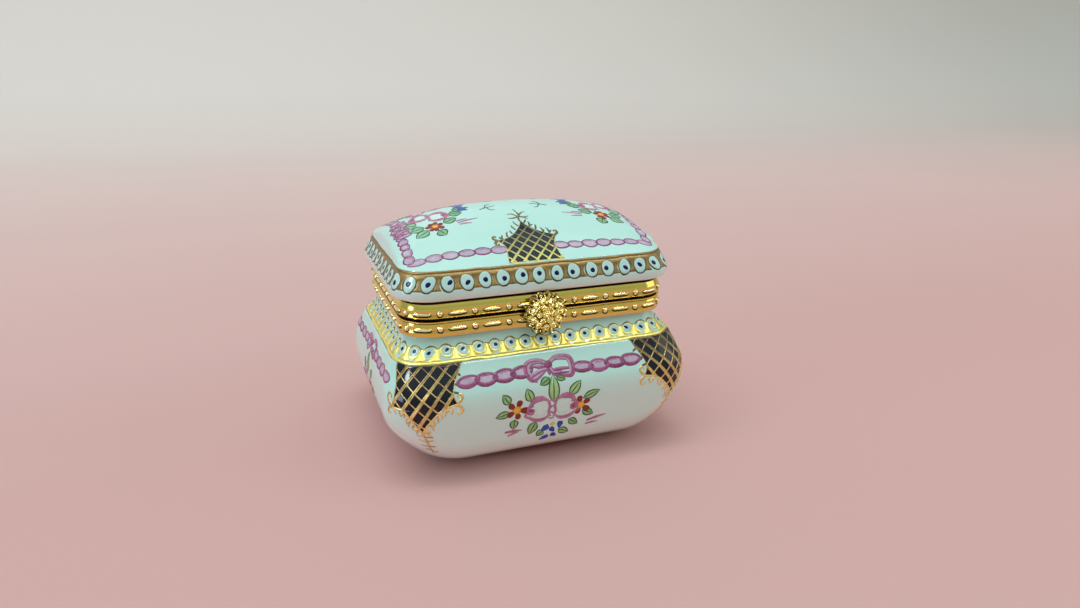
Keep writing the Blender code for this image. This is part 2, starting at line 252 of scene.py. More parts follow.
def outline_share(x, y):
    """How far out a point of the dome is: 0 in the middle, 1 on the crease."""
    ax = np.abs(x) + 1e-9
    ay = np.abs(y) + 1e-9
    cx = DOME_X - DOME_CORNER
    cy = DOME_Y - DOME_CORNER
    dot = ax * cx + ay * cy
    square = ax * ax + ay * ay
    root = np.sqrt(np.maximum(dot * dot - square * (cx * cx + cy * cy - DOME_CORNER**2), 0))
    reach = (dot + root) / square
    in_corner = (reach * ax > cx) & (reach * ay > cy)
    return np.where(in_corner, 1 / reach, np.maximum(ax / DOME_X, ay / DOME_Y))


def dome_chart(turn=1):
    """Maps plan points (x, y) onto the dome; turn -1 looks at it from the back."""
    def chart(p):
        x = turn * p[:, 0]
        y = turn * p[:, 1]
        share = np.maximum(outline_share(x, y), 1e-6)
        edge = dome_rise(x / share, y / share, DOME_X, DOME_Y, DOME_RISE)
        z = DOME_Z + dome_rise(x, y, DOME_X, DOME_Y, DOME_RISE) - edge * share**8
        return np.column_stack([x, y, z])
    return chart


# ---- Mesh helpers ----

def new_object(name, points, faces, material, body, tones, sharp=35, node=None):
    """A smooth-shaded piece from points in mm, riding on a body; it stands for a CAD node if one is given."""
    mesh = bpy.data.meshes.new(name)
    mesh.from_pydata((np.asarray(points) * MM).tolist(), [], faces)
    mesh.update()
    layer = mesh.attributes.new("tone", "FLOAT", "POINT")
    layer.data.foreach_set("value", np.asarray(tones, np.float32))
    mesh.shade_smooth()
    if sharp:
        mesh.set_sharp_from_angle(angle=math.radians(sharp))
    mesh.materials.append(material)
    made = bpy.data.objects.new(name, mesh)
    bpy.context.scene.collection.objects.link(made)
    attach(made, body)
    if node:
        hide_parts(node)


def loft_faces(rows, count, endless=False):
    """Quads between rows of count points each; endless joins the last row to the first."""
    faces = []
    for k in range(rows if endless else rows - 1):
        a = k * count
        b = ((k + 1) % rows) * count
        for i in range(count):
            j = (i + 1) % count
            faces.append((a + i, a + j, b + j, b + i))
    return faces


def outline_loop(half_x, half_y, corner, z, count):
    """Evenly spaced points round a rounded rectangle at height z."""
    s = np.arange(count) * 4 * quarter_length(half_x, half_y, corner) / count
    x, y = outline_point(half_x, half_y, corner, s)
    return np.column_stack([x, y, np.full(count, z)])


def fan_cap(faces, start, count, centre, flip):
    """Triangles from a ring of points to its centre."""
    for i in range(count):
        j = (i + 1) % count
        faces.append((start + j, start + i, centre) if flip else (start + i, start + j, centre))


# ---- Materials ----

class Nodes:
    """A material and short ways to add nodes to it."""

    def __init__(self, name):
        self.material = bpy.data.materials.new(name)
        self.material.use_nodes = True
        self.tree = self.material.node_tree
        self.shader = self.tree.nodes["Principled BSDF"]
        self.place = self.add("ShaderNodeTexCoord").outputs["Object"]

    def add(self, kind, **inputs):
        node = self.tree.nodes.new(kind)
        for key, value in inputs.items():
            socket = node.inputs[key.replace("_", " ")]
            self.set(socket, value)
        return node

    def set(self, socket, value):
        if isinstance(value, bpy.types.NodeSocket):
            self.tree.links.new(value, socket)
        else:
            socket.default_value = value

    def noise(self, per_mm, detail=3.0, roughness=0.55):
        node = self.add("ShaderNodeTexNoise", Scale=per_mm / MM, Detail=detail, Roughness=roughness)
        self.set(node.inputs["Vector"], self.place)
        return node.outputs["Fac"]

    def ramp(self, value, low, high, low_at=0.0, high_at=1.0):
        """A value or colour running from low to high."""
        if isinstance(low, tuple):
            node = self.tree.nodes.new("ShaderNodeValToRGB")
            node.color_ramp.elements[0].position = low_at
            node.color_ramp.elements[1].position = high_at
            node.color_ramp.elements[0].color = (*low, 1.0)
            node.color_ramp.elements[1].color = (*high, 1.0)
            self.set(node.inputs["Fac"], value)
            return node.outputs["Color"]
        node = self.tree.nodes.new("ShaderNodeMapRange")
        for key, number in (("From Min", low_at), ("From Max", high_at), ("To Min", low), ("To Max", high)):
            node.inputs[key].default_value = number
        self.set(node.inputs["Value"], value)
        return node.outputs["Result"]

    def mix(self, share, first, second, blend="MIX"):
        node = self.tree.nodes.new("ShaderNodeMix")
        node.data_type = "RGBA"
        node.blend_type = blend
        for socket, value in ((node.inputs[0], share), (node.inputs[6], first), (node.inputs[7], second)):
            self.set(socket, (*value, 1.0) if isinstance(value, tuple) and len(value) == 3 else value)
        return node.outputs[2]

    def add_up(self, first, second, clamp=False):
        node = self.add("ShaderNodeMath")
        node.operation = "ADD"
        node.use_clamp = clamp
        self.set(node.inputs[0], first)
        self.set(node.inputs[1], second)
        return node.outputs[0]

    def attribute(self, name):
        node = self.tree.nodes.new("ShaderNodeAttribute")
        node.attribute_name = name
        return node.outputs["Fac"]

    def bump(self, height, strength, depth):
        node = self.add("ShaderNodeBump", Strength=strength, Distance=depth * MM)
        self.set(node.inputs["Height"], height)
        self.set(self.shader.inputs["Normal"], node.outputs["Normal"])

    def finish(self, **inputs):
        for key, value in inputs.items():
            if isinstance(value, tuple) and len(value) == 3:
                value = (*value, 1.0)
            self.set(self.shader.inputs[key.replace("_", " ")], value)
        return self.material


def glaze_material(name, unglazed_below):
    """Mint glaze with painted floor light that greys it on faces turning down, bare below a height in mm,
    with painted shade where tone is 0.
    """
    n = Nodes(name)
    colour = n.ramp(n.noise(0.09, 2.0), (0.505, 0.775, 0.735), (0.54, 0.79, 0.755), 0.35, 0.65)
    normal = n.add("ShaderNodeNewGeometry").outputs["Normal"]
    facing = n.add("ShaderNodeSeparateXYZ", Vector=normal).outputs["Z"]
    # Painted floor light: faces that turn down lose the mint and go pale grey.
    colour = n.mix(n.ramp(facing, 1.0, 0.0, -0.55, 0.5), colour, (0.80, 0.83, 0.82))
    height = n.add("ShaderNodeSeparateXYZ", Vector=n.place).outputs["Z"]
    colour = n.mix(n.ramp(n.noise(2.2, 4.0, 0.7), 0.0, 0.06, 0.66, 0.8), colour, (0.45, 0.42, 0.38))
    bare = n.ramp(height, 1.0, 0.0, (unglazed_below - 0.12) * MM, (unglazed_below + 0.12) * MM)
    colour = n.mix(bare, colour, n.ramp(n.noise(1.5), (0.62, 0.57, 0.50), (0.76, 0.72, 0.66), 0.3, 0.7))
    # Painted shade: where tone is 0 the glaze is near black, as on the neck under the lid's lip.
    colour = n.mix(n.attribute("tone"), (0.035, 0.028, 0.02), colour)
    n.bump(n.noise(0.55, 1.0), 0.10, 0.05)
    rough = n.add_up(n.ramp(n.noise(0.3), 0.06, 0.13, 0.3, 0.7), n.ramp(bare, 0.0, 0.6))
    return n.finish(Base_Color=colour, Roughness=rough, IOR=1.52, Specular_IOR_Level=0.5)


def metal_material(name, dark, bright, painted_highlight, rough, grain):
    """Gilt metal: tone 0 gives painted shade in the hollows and under the relief, and tone over 0.93 a
    painted highlight on its tops.
    """
    n = Nodes(name)
    tone = n.attribute("tone")
    worn = n.mix(n.ramp(n.noise(0.5), 0.0, 0.35, 0.4, 0.75), bright, tuple(0.86 * c for c in bright))
    colour = n.mix(tone, dark, worn)
    # Painted highlight: the tops of the relief turn pale.
    colour = n.mix(n.ramp(tone, 0.0, 1.0, 0.93, 1.0), colour, painted_highlight)
    n.bump(n.noise(6.0, 4.0), grain, 0.02)
    gloss = n.ramp(n.noise(1.2), rough, rough + 0.12, 0.3, 0.75)
    return n.finish(Base_Color=colour, Roughness=gloss, Metallic=1.0)


def paint_material(name, deep, light, rough=0.22, metallic=0.0, ior=1.5, haze=0.15):
    """Enamel or gold fired on the glaze: the tone attribute runs from deep to light."""
    n = Nodes(name)
    streak = n.ramp(n.noise(1.8, 4.0, 0.65), -0.3, 0.3, 0.25, 0.75)
    colour = n.mix(n.add_up(n.attribute("tone"), streak, True), deep, light)
    n.bump(n.noise(3.5, 3.0), 0.25, 0.03)
    gloss = n.ramp(n.noise(1.0), rough, rough + haze, 0.3, 0.7)
    return n.finish(Base_Color=colour, Roughness=gloss, Metallic=metallic, IOR=ior)


def cement_material():
    n = Nodes("cement")
    colour = n.ramp(n.noise(1.4), (0.60, 0.58, 0.52), (0.78, 0.76, 0.70), 0.3, 0.7)
    n.bump(n.noise(4.0), 0.5, 0.1)
    return n.finish(Base_Color=colour, Roughness=0.9)


glaze = glaze_material("glaze", 0.25)
lid_glaze = glaze_material("lid_glaze", -5.0)
# Gilt looks: painted shade colour, own colour, painted highlight colour, roughness and grain.
gilt = metal_material("gilt", (0.07, 0.035, 0.004), (1.0, 0.77, 0.20), (1.0, 0.92, 0.55), 0.07, 0.08)
cast_gilt = metal_material("cast_gilt", (0.18, 0.11, 0.02), (1.0, 0.84, 0.36), (1.0, 0.87, 0.42), 0.08, 0.2)
plain_gilt = metal_material("plain_gilt", (0.95, 0.64, 0.2), (0.95, 0.64, 0.2), (1.0, 0.75, 0.3), 0.18, 0.15)
pin_metal = metal_material("pin_metal", (0.6, 0.42, 0.18), (0.6, 0.42, 0.18), (0.7, 0.5, 0.24), 0.3, 0.3)
cement = cement_material()

# Deep and light colour and roughness, then metallic, IOR and haze where they differ from enamel's.
PAINT_LOOKS = {
    "navy": ((0.002, 0.003, 0.008), (0.006, 0.010, 0.026), 0.03, 0.0, 1.42, 0.04),
    "dot_blue": ((0.001, 0.002, 0.03), (0.006, 0.012, 0.17), 0.1, 0.0, 1.3),
    "white": ((0.46, 0.70, 0.69), (0.56, 0.78, 0.76), 0.12),
    "rose_white": ((0.58, 0.74, 0.73), (0.70, 0.82, 0.80), 0.2),
    "mauve": ((0.19, 0.015, 0.10), (0.46, 0.13, 0.30), 0.2),
    "lilac": ((0.40, 0.25, 0.42), (0.60, 0.48, 0.61), 0.2),
    "pink": ((0.34, 0.055, 0.17), (0.60, 0.26, 0.42), 0.2),
    "leaf_dark": ((0.010, 0.045, 0.020), (0.05, 0.13, 0.05), 0.2),
    "leaf": ((0.15, 0.30, 0.08), (0.44, 0.62, 0.28), 0.2),
    "red": ((0.13, 0.004, 0.002), (0.36, 0.018, 0.006), 0.18),
    "yellow": ((0.75, 0.22, 0.010), (0.95, 0.50, 0.04), 0.2),
    "blue": ((0.005, 0.018, 0.24), (0.04, 0.12, 0.60), 0.18),
    "pale_leaf": ((0.08, 0.28, 0.12), (0.30, 0.58, 0.36), 0.2),
    "olive_gold": ((0.13, 0.085, 0.045), (0.64, 0.56, 0.19), 0.26, 0.7),
    "gold": ((0.72, 0.50, 0.08), (1.0, 0.90, 0.28), 0.26, 0.7),
    "worn_gold": ((0.14, 0.09, 0.04), (1.0, 0.68, 0.27), 0.24, 0.75),
    "dull_gold": ((0.10, 0.065, 0.03), (0.40, 0.26, 0.09), 0.32, 0.6),
}
PAINTS = {key: paint_material(key + "_paint", *look) for key, look in PAINT_LOOKS.items()}


# ---- Brush work: thin raised closed shapes laid on a chart ----

# Paint starts SINK under the glaze and its top stands FIRST over it, and LAYER more for each layer.
SINK = 0.02
LAYER = 0.022
FIRST = 0.02
STEP = 0.22
# Normals come from steps of EPS along the chart and point away from a place inside the box.
EPS = 0.01
BOX_MIDDLE = np.array([0.0, 0.0, SEAM - 12.0])


def smooth_path(points, step=STEP):
    """Evenly dense points along a smooth curve through the given ones."""
    p = np.array(points, float)
    if len(p) < 3:
        count = max(int(np.linalg.norm(p[-1] - p[0]) / step), 2)
        return p[0] + (p[-1] - p[0]) * np.linspace(0, 1, count + 1)[:, None]
    padded = np.vstack([2 * p[0] - p[1], p, 2 * p[-1] - p[-2]])
    found = []
    for i in range(1, len(padded) - 2):
        a, b, c, d = padded[i - 1:i + 3]
        count = max(int(np.linalg.norm(c - b) / step), 3)
        t = np.linspace(0, 1, count, endpoint=False)[:, None]
        found.append(0.5 * (2 * b + (c - a) * t + (2 * a - 5 * b + 4 * c - d) * t**2
                            + (3 * b - a - 3 * c + d) * t**3))
    found.append(p[-1:])
    return np.vstack(found)


def turned(points, angle, centre=(0.0, 0.0), size=1.0):
    """Points turned by an angle in degrees, scaled, then moved to a centre."""
    a = math.radians(angle)
    p = np.atleast_2d(np.array(points, float)) * size
    x = p[:, 0] * math.cos(a) - p[:, 1] * math.sin(a) + centre[0]
    y = p[:, 0] * math.sin(a) + p[:, 1] * math.cos(a) + centre[1]
    return np.column_stack([x, y])


class Palette:
    """Collects one body's brush marks on the chart that is set, and makes one piece of each paint."""

    def __init__(self, body):
        self.body = body
        self.chart = None
        self.marks = {paint: [] for paint in PAINTS}

    def lay(self, flat, lift):
        """Chart points lifted along the surface's normal, and whether the chart turns them over."""
        here = self.chart(flat)
        right = self.chart(flat + np.array([EPS, 0.0])) - here
        up = self.chart(flat + np.array([0.0, EPS])) - here
        normal = np.cross(right, up)
        normal /= np.linalg.norm(normal, axis=1)[:, None] + 1e-12
        inward = (normal * (here - BOX_MIDDLE)).sum(axis=1) < 0
        normal *= np.where(inward, -1.0, 1.0)[:, None]
        return here + normal * np.asarray(lift, float)[:, None], bool(inward[0])

    def put(self, paint, points, tones, faces, flip):
        """Keeps one mark; flip turns its faces over."""
        faces = [face[::-1] for face in faces] if flip else faces
        self.marks[paint].append((points, np.broadcast_to(tones, (len(points),)), faces))

    def sheet(self, paint, rows, lifts, tone, closed):
        """A closed skin through rows of points, its first and last rows sunk under the glaze."""
        laid = [self.lay(row, np.full(len(row), lift)) for row, lift in zip(rows, lifts)]
        n, count = len(rows[0]), len(rows)
        faces = []
        for i in range(n if closed else n - 1):
            j = (i + 1) % n
            for a in range(count):
                b = (a + 1) % count
                faces.append((a * n + i, b * n + i, b * n + j, a * n + j))
        if not closed:
            faces.append(tuple(a * n for a in range(count))[::-1])
            faces.append(tuple(a * n + n - 1 for a in range(count)))
        self.put(paint, np.vstack([points for points, _ in laid]), tone, faces, laid[0][1])

    def stroke(self, paint, points, widths, layer=0, tone=0.5, closed=False, step=STEP):
        """A brush stroke; widths are full widths at even places along it, and so are tones."""
        path = smooth_path(points, step)
        if closed:
            path = path[:-1]
            ahead = np.roll(path, -1, axis=0) - np.roll(path, 1, axis=0)
        else:
            ahead = np.gradient(path, axis=0)
        ahead /= np.linalg.norm(ahead, axis=1)[:, None] + 1e-9
        side = np.column_stack([-ahead[:, 1], ahead[:, 0]])
        along = np.linspace(0, 1, len(path))
        reach = side * np.interp(along, np.linspace(0, 1, len(widths)), widths)[:, None] / 2
        if np.ndim(tone):
            tone = np.tile(np.interp(along, np.linspace(0, 1, len(tone)), tone), 4)
        top = FIRST + LAYER * layer
        rows = [path + reach * share for share in (1, 0.72, -0.72, -1)]
        self.sheet(paint, rows, (-SINK, top, top, -SINK), tone, closed)

    def blob(self, paint, outline, layer=0, tone=0.5, centre_tone=None, rim=0.84):
        """A filled closed shape that its centre can see all of."""
        ring = np.array(outline, float)
        n = len(ring)
        area = 0.5 * np.sum(ring[:, 0] * np.roll(ring[:, 1], -1) - np.roll(ring[:, 0], -1) * ring[:, 1])
        if area < 0:
            ring = ring[::-1]
        middle = ring.mean(axis=0)
        inner = middle + (ring - middle) * rim
        core = middle + (ring - middle) * 0.45
        top = FIRST + LAYER * layer
        flat = np.vstack([ring, inner, core, middle[None], middle[None]])
        lifts = np.concatenate([np.full(n, -SINK), np.full(n, top), np.full(n, top), [top, -2 * SINK]])
        laid, turned_over = self.lay(flat, lifts)
        middle_tone = tone if centre_tone is None else centre_tone
        tones = np.concatenate([np.full(2 * n, tone), np.full(n, middle_tone), [middle_tone, tone]])
        faces = []
        for i in range(n):
            j = (i + 1) % n
            faces.append((i, j, n + j, n + i))
            faces.append((n + i, n + j, 2 * n + j, 2 * n + i))
            faces.append((2 * n + i, 2 * n + j, 3 * n))
            faces.append((j, i, 3 * n + 1))
        self.put(paint, laid, tones, faces, turned_over)

    def oval(self, paint, centre, wide, tall, angle=0.0, layer=0, tone=0.5, centre_tone=None,
             wobble=0.0, count=20, slant=0.0, box=1.0):
        """A blob with an oval outline; wobble makes it uneven, and box under 1 squarer."""
        turn = np.linspace(0, 2 * PI, count, endpoint=False)
        reach = 1 + wobble * np.sin(3 * turn + draw.uniform(0, 6)) if wobble else 1
        across = np.sign(np.cos(turn)) * np.abs(np.cos(turn)) ** box
        ring = np.column_stack([across * wide / 2 * reach, np.sin(turn) * tall / 2 * reach])
        ring[:, 0] += slant * ring[:, 1]
        self.blob(paint, turned(ring, angle, centre), layer, tone, centre_tone)

    def strip(self, paint, left, right, layer=0, tone=0.5, closed=False, across=2):
        """A filled area between two edges with the same number of points."""
        shares = [0, *np.clip(np.linspace(0, 1, across + 1), 0.02, 0.98), 1]
        rows = [left + (right - left) * share for share in shares]
        top = FIRST + LAYER * layer
        self.sheet(paint, rows, [-SINK, *[top] * (across + 1), -SINK], tone, closed)

    def make(self):
        for paint, marks in self.marks.items():
            if marks:
                points, tones, lists = zip(*marks)
                faces, start = [], 0
                for some, mark_faces in zip(points, lists):
                    faces += [tuple(v + start for v in face) for face in mark_faces]
                    start += len(some)
                new_object(f"{self.body}_paint_{paint}", np.vstack(points), faces, PAINTS[paint], self.body,
                           np.concatenate(tones), 0)


# ---- Porcelain bodies ----

AROUND = 384


def make_base_bowl():
    rows = [tuple(row[1:]) for row in BOWL[::-1]]
    foot = rows[0]
    inner_foot = [v - FOOT_RING for v in foot[1:]]
    rings = [
        (FOOT_RECESS, *(v - 0.5 for v in inner_foot)),
        (FOOT_RECESS, *(v - 0.1 for v in inner_foot)),
        (FOOT_RECESS * 0.6, *inner_foot),
        (0.12, *(v + 0.06 for v in inner_foot)),
        (0.0, *(v + 0.25 for v in inner_foot)),
        (0.0, *(v - 0.3 for v in foot[1:])),
        (0.08, *(v - 0.08 for v in foot[1:])),
    ]
    rings += [row for row in rows if row[0] > 0.2]
    rim = SEAM - NECK_END
    neck = rows[-1]
    mouth = (HALF_X - NECK_INSET - BOWL_WALL, HALF_Y - NECK_INSET - BOWL_WALL, MOUTH_CORNER)
    rings += [
        (rim - 0.2, *neck[1:]),
        (rim, *(v - 0.2 for v in neck[1:])),
        (rim, *(v + 0.2 for v in mouth)),
        (rim - 0.2, *mouth),
        (neck[0] - 1.0, *mouth),
    ]
    inside = [row for row in rows[::-4] if BOWL_FLOOR + 1.2 < row[0] < SHOULDER]
    rings += [(z, x - BOWL_WALL, y - BOWL_WALL, max(r - BOWL_WALL, 2.5)) for z, x, y, r in inside]
    z, x, y, r = inside[-1]
    for part in (0.25, 0.5, 0.75, 1.0):
        angle = part * PI / 2
        inset = BOWL_WALL + 2.4 * (1 - math.cos(angle))
        down = (z - BOWL_FLOOR) * math.sin(angle)
        rings.append((z - down, x - inset, y - inset, max(r - inset, 2.0)))
    loops = [outline_loop(x, y, r, z, AROUND) for z, x, y, r in rings]
    points = np.vstack([*loops, [(0, 0, FOOT_RECESS), (0, 0, BOWL_FLOOR)]])
    faces = loft_faces(len(rings), AROUND)
    under = len(rings) * AROUND
    fan_cap(faces, 0, AROUND, under, True)
    fan_cap(faces, (len(rings) - 1) * AROUND, AROUND, under + 1, False)
    tones = np.ones(len(points))
    new_object("base_porcelain", points, faces, glaze, "base", tones, node="base_bowl")


def dome_rings(inset, z, rise, shares):
    """Rings of a dome from shares of the way out to its edge."""
    half_x = DOME_X - inset
    half_y = DOME_Y - inset
    edge = outline_loop(half_x, half_y, max(DOME_CORNER - inset, 2.5), 0, AROUND)
    x, y = edge[:, 0], edge[:, 1]
    base = dome_rise(x, y, half_x, half_y, rise)
    rings = []
    for share in shares:
        height = dome_rise(x * share, y * share, half_x, half_y, rise)
        rings.append(np.column_stack([x * share, y * share, z + height - base * share**8]))
    return rings


def make_lid_dome():
    neck_bottom = SEAM + NECK_END
    lip = SEAM + LID_BAND[0][0]
    neck = (HALF_X - NECK_INSET, HALF_Y - NECK_INSET, CORNER - NECK_INSET)
    rings = [(neck_bottom + 0.2, *neck), (lip - 0.05, *neck)]
    rings += [tuple(row[1:]) for row in BAND[::-1]]
    points = [outline_loop(x, y, r, z, AROUND) for z, x, y, r in rings]
    shares = np.concatenate([np.linspace(0.995, 0.9, 14), np.linspace(0.885, 0.03, 56)])
    points += dome_rings(0.0, DOME_Z, DOME_RISE, shares)
    crown = len(points)
    inner_z = DOME_Z - CEILING_DROP
    inner_rise = DOME_RISE - LID_WALL + CEILING_DROP
    points += dome_rings(LID_WALL, inner_z, inner_rise, np.linspace(0.03, 1, 20))
    mouth = [v - LID_WALL for v in neck[:2]]
    for z, grow in ((SEAM + 5.1, 0.6), (lip, 0.0), (neck_bottom + 0.2, 0.0), (neck_bottom, 0.2)):
        points.append(outline_loop(mouth[0] + grow, mouth[1] + grow, MOUTH_CORNER, z, AROUND))
    points.append(outline_loop(*(v - 0.2 for v in neck), neck_bottom, AROUND))
    count = len(points)
    faces = loft_faces(count, AROUND, endless=True)
    del faces[(crown - 1) * AROUND:crown * AROUND]
    crowns = [(0, 0, DOME_Z + DOME_RISE), (0, 0, inner_z + inner_rise)]
    stacked = np.vstack([*points, crowns])
    top = count * AROUND
    fan_cap(faces, (crown - 1) * AROUND, AROUND, top, False)
    fan_cap(faces, crown * AROUND, AROUND, top + 1, True)
    # Painted shade: the neck is dark where it meets the bezel.
    unshaded = np.ones(len(stacked))
    unshaded[:2 * AROUND] = 0.0
    new_object("lid_porcelain", stacked, faces, lid_glaze, "lid", unshaded, node="lid_dome")


make_base_bowl()
make_lid_dome()


# ---- Bezels: thin rings whose outer face carries a row of beads and bars ----

BEAD_COUNT = 27
PATTERN_X = -0.59
BEZEL_STEPS = 1296
BEAD_RADIUS, BEAD_HEIGHT = 0.5, 0.44
BAR_REACH, BAR_HALF, BAR_HEIGHT = 1.66, 0.29, 0.34
# Behind the hinge's leaves the bezels are plain.
LEAF_REACH = 7.2


def strip_offset(h, row, up):
    """How far the outer face stands from the outline at height h off the seam."""
    fullest = 1.1 if up > 0 else 1.9
    belly = 0.05 - 0.25 * ((h - fullest) / 1.4) ** 2
    groove = -0.09 * math.exp(-(((h - row) / 0.42) ** 2))
    ridges = 0.05 * sum(math.exp(-(((h - row - side) / 0.1) ** 2)) for side in (-0.66, 0.66))
    return belly + groove + ridges


def relief(along, h, row, spread=0.0):
    """Height of the beads and bars at places along the outline; spread widens them."""
    mm = (along - np.floor(along + 0.5)) * BEAD_PITCH
    bead = np.sqrt(np.maximum(1 - (mm**2 + (h - row) ** 2) / (BEAD_RADIUS + spread) ** 2, 0))
    from_bar = np.abs(np.abs(mm) - BEAD_PITCH / 2)
    share = np.clip(from_bar / (BAR_REACH + spread), 0, 1)
    half = (BAR_HALF + spread) * np.sqrt(1 - share**4)
    bar = np.sqrt(np.maximum(1 - ((h - row) / np.maximum(half, 1e-3)) ** 2, 0))
    return np.maximum(bead * BEAD_HEIGHT, np.where(share < 1, bar * BAR_HEIGHT, 0))


def perimeter_of(offset):
    return 4 * quarter_length(HALF_X + offset, HALF_Y + offset, max(CORNER + offset, 1.2))


perimeter = perimeter_of(0)
BEAD_PITCH = perimeter / BEAD_COUNT


def make_bezel(name, up, row, lip, body):
    """A bezel, up or down (-1) from the seam, with its beads and bars at the height row off the seam."""
    near = SEAM_GAP / 2
    far = near + BEZEL_HEIGHT
    # Rows of the patterned face, as heights off the seam.
    face = [0.6, 0.66, *np.arange(0.74, 2.34, 0.08), 2.45, 2.6, 2.75, 2.9, 3.02]
    section = [(-FLANGE_REACH, near + 0.1), (-FLANGE_REACH + 0.1, near)]
    section += [(offset, near + rise) for offset, rise in lip]
    section += [(None, h) for h in face]
    section += [(-0.46, far - 0.02), (-0.5, far), (-BEZEL_WALL + 0.04, far), (-BEZEL_WALL, far - 0.08)]
    flange = near + FLANGE_THICKNESS
    section += [(-BEZEL_WALL, flange + 0.1), (-BEZEL_WALL - 0.1, flange)]
    section += [(-FLANGE_REACH + 0.1, flange), (-FLANGE_REACH, flange - 0.1)]
    s = np.arange(BEZEL_STEPS) * perimeter / BEZEL_STEPS
    x, y = outline_point(HALF_X, HALF_Y, CORNER, s)
    x2, y2 = outline_point(HALF_X, HALF_Y, CORNER, s + 0.05)
    x1, y1 = outline_point(HALF_X, HALF_Y, CORNER, s - 0.05)
    run = np.hypot(x2 - x1, y2 - y1)
    out_x, out_y = (y2 - y1) / run, -(x2 - x1) / run
    along = (s - PATTERN_X) / BEAD_PITCH
    behind_leaf = (y > 0) & (np.abs(x) < LEAF_REACH)
    points, tones = [], []
    for offset, h in section:
        if offset is None:
            height = np.where(behind_leaf, 0.0, relief(along, h, row))
            offset = strip_offset(h, row, up) + height
            # A wider pattern a little lower down gives the painted shade line under each bead and bar, and
            # tone 1 on them gives their painted highlight.
            below = relief(along, h + 0.17 * up, row, 0.13)
            tone = np.where(height > 0.05, 1.0, np.where(below > 0, 0.0, 0.85))
            tone = np.where(behind_leaf, 0.85, tone)
        else:
            # Painted shade on the lip in the gap at the seam.
            tone = 0.0 if -0.45 < offset < -0.1 and h < 0.5 else 0.9
        # The inner parts of the ring follow the outline's own inset, which keeps their corners round.
        base = offset if np.ndim(offset) == 0 and offset < -0.45 else 0.0
        place = s * (perimeter_of(base) / perimeter)
        rx, ry = outline_point(HALF_X + base, HALF_Y + base, max(CORNER + base, 1.2), place)
        extra = offset - base
        height = np.full(len(s), SEAM + up * h)
        points.append(np.column_stack([rx + out_x * extra, ry + out_y * extra, height]))
        tones.append(np.broadcast_to(tone, (len(s),)))
    faces = loft_faces(len(section), BEZEL_STEPS, endless=True)
    if up > 0:
        faces = [face[::-1] for face in faces]
    tones = np.concatenate(tones)
    new_object(name + "_relief", np.vstack(points), faces, gilt, body, tones, 40, name)


# The lips at the seam: (offset, height over the near face).
LOWER_LIP = ((-0.5, 0), (-0.05, 0), (0.03, 0.05), (0.05, 0.16), (0.0, 0.26), (-0.11, 0.4))
UPPER_LIP = ((-0.9, 0), (-0.44, 0.03), (-0.3, 0.14), (-0.2, 0.28), (-0.11, 0.4))
make_bezel("lower_bezel", -1, 1.58, LOWER_LIP, "base")
make_bezel("upper_bezel", 1, 1.38, UPPER_LIP, "lid")


# ---- Rosette, tongue, stud and hinge ----

PETALS = 14
GRAINS = 200
ROSETTE_TURN = 5


def bump_ring(x, z, count, radius, start, length, width, height, point=1.6):
    """Pointed ovals set round a circle, long way outwards; the highest one wins at each place."""
    best = np.zeros_like(x)
    for k in range(count):
        a = 2 * PI * k / count + start
        u = (x * math.cos(a) + z * math.sin(a) - radius) / (length / 2)
        v = (-x * math.sin(a) + z * math.cos(a)) / (width / 2)
        body = np.maximum(1 - u**2 - np.abs(v) ** point * np.clip(1 + 0.4 * u, 0.6, 1.4), 0)
        best = np.maximum(best, np.sqrt(body) * height)
    return best


def floret(x, z, size):
    """A small domed flower head with a pitted middle and grooves between its petals."""
    way = np.hypot(x, z) / size
    petals = 0.16 * np.cos(8 * np.arctan2(z, x)) * np.clip(way * 2 - 0.5, 0, 1)
    dome = np.sqrt(np.maximum(1 - way**2, 0)) * (1.0 + petals)
    pit = 0.35 * np.maximum(1 - (way / 0.24) ** 2, 0)
    ring = 0.22 * np.maximum(1 - ((way - 0.38) / 0.14) ** 2, 0)
    return np.where(way < 1, 0.45 + 0.5 * dome - pit + ring, 0.0)


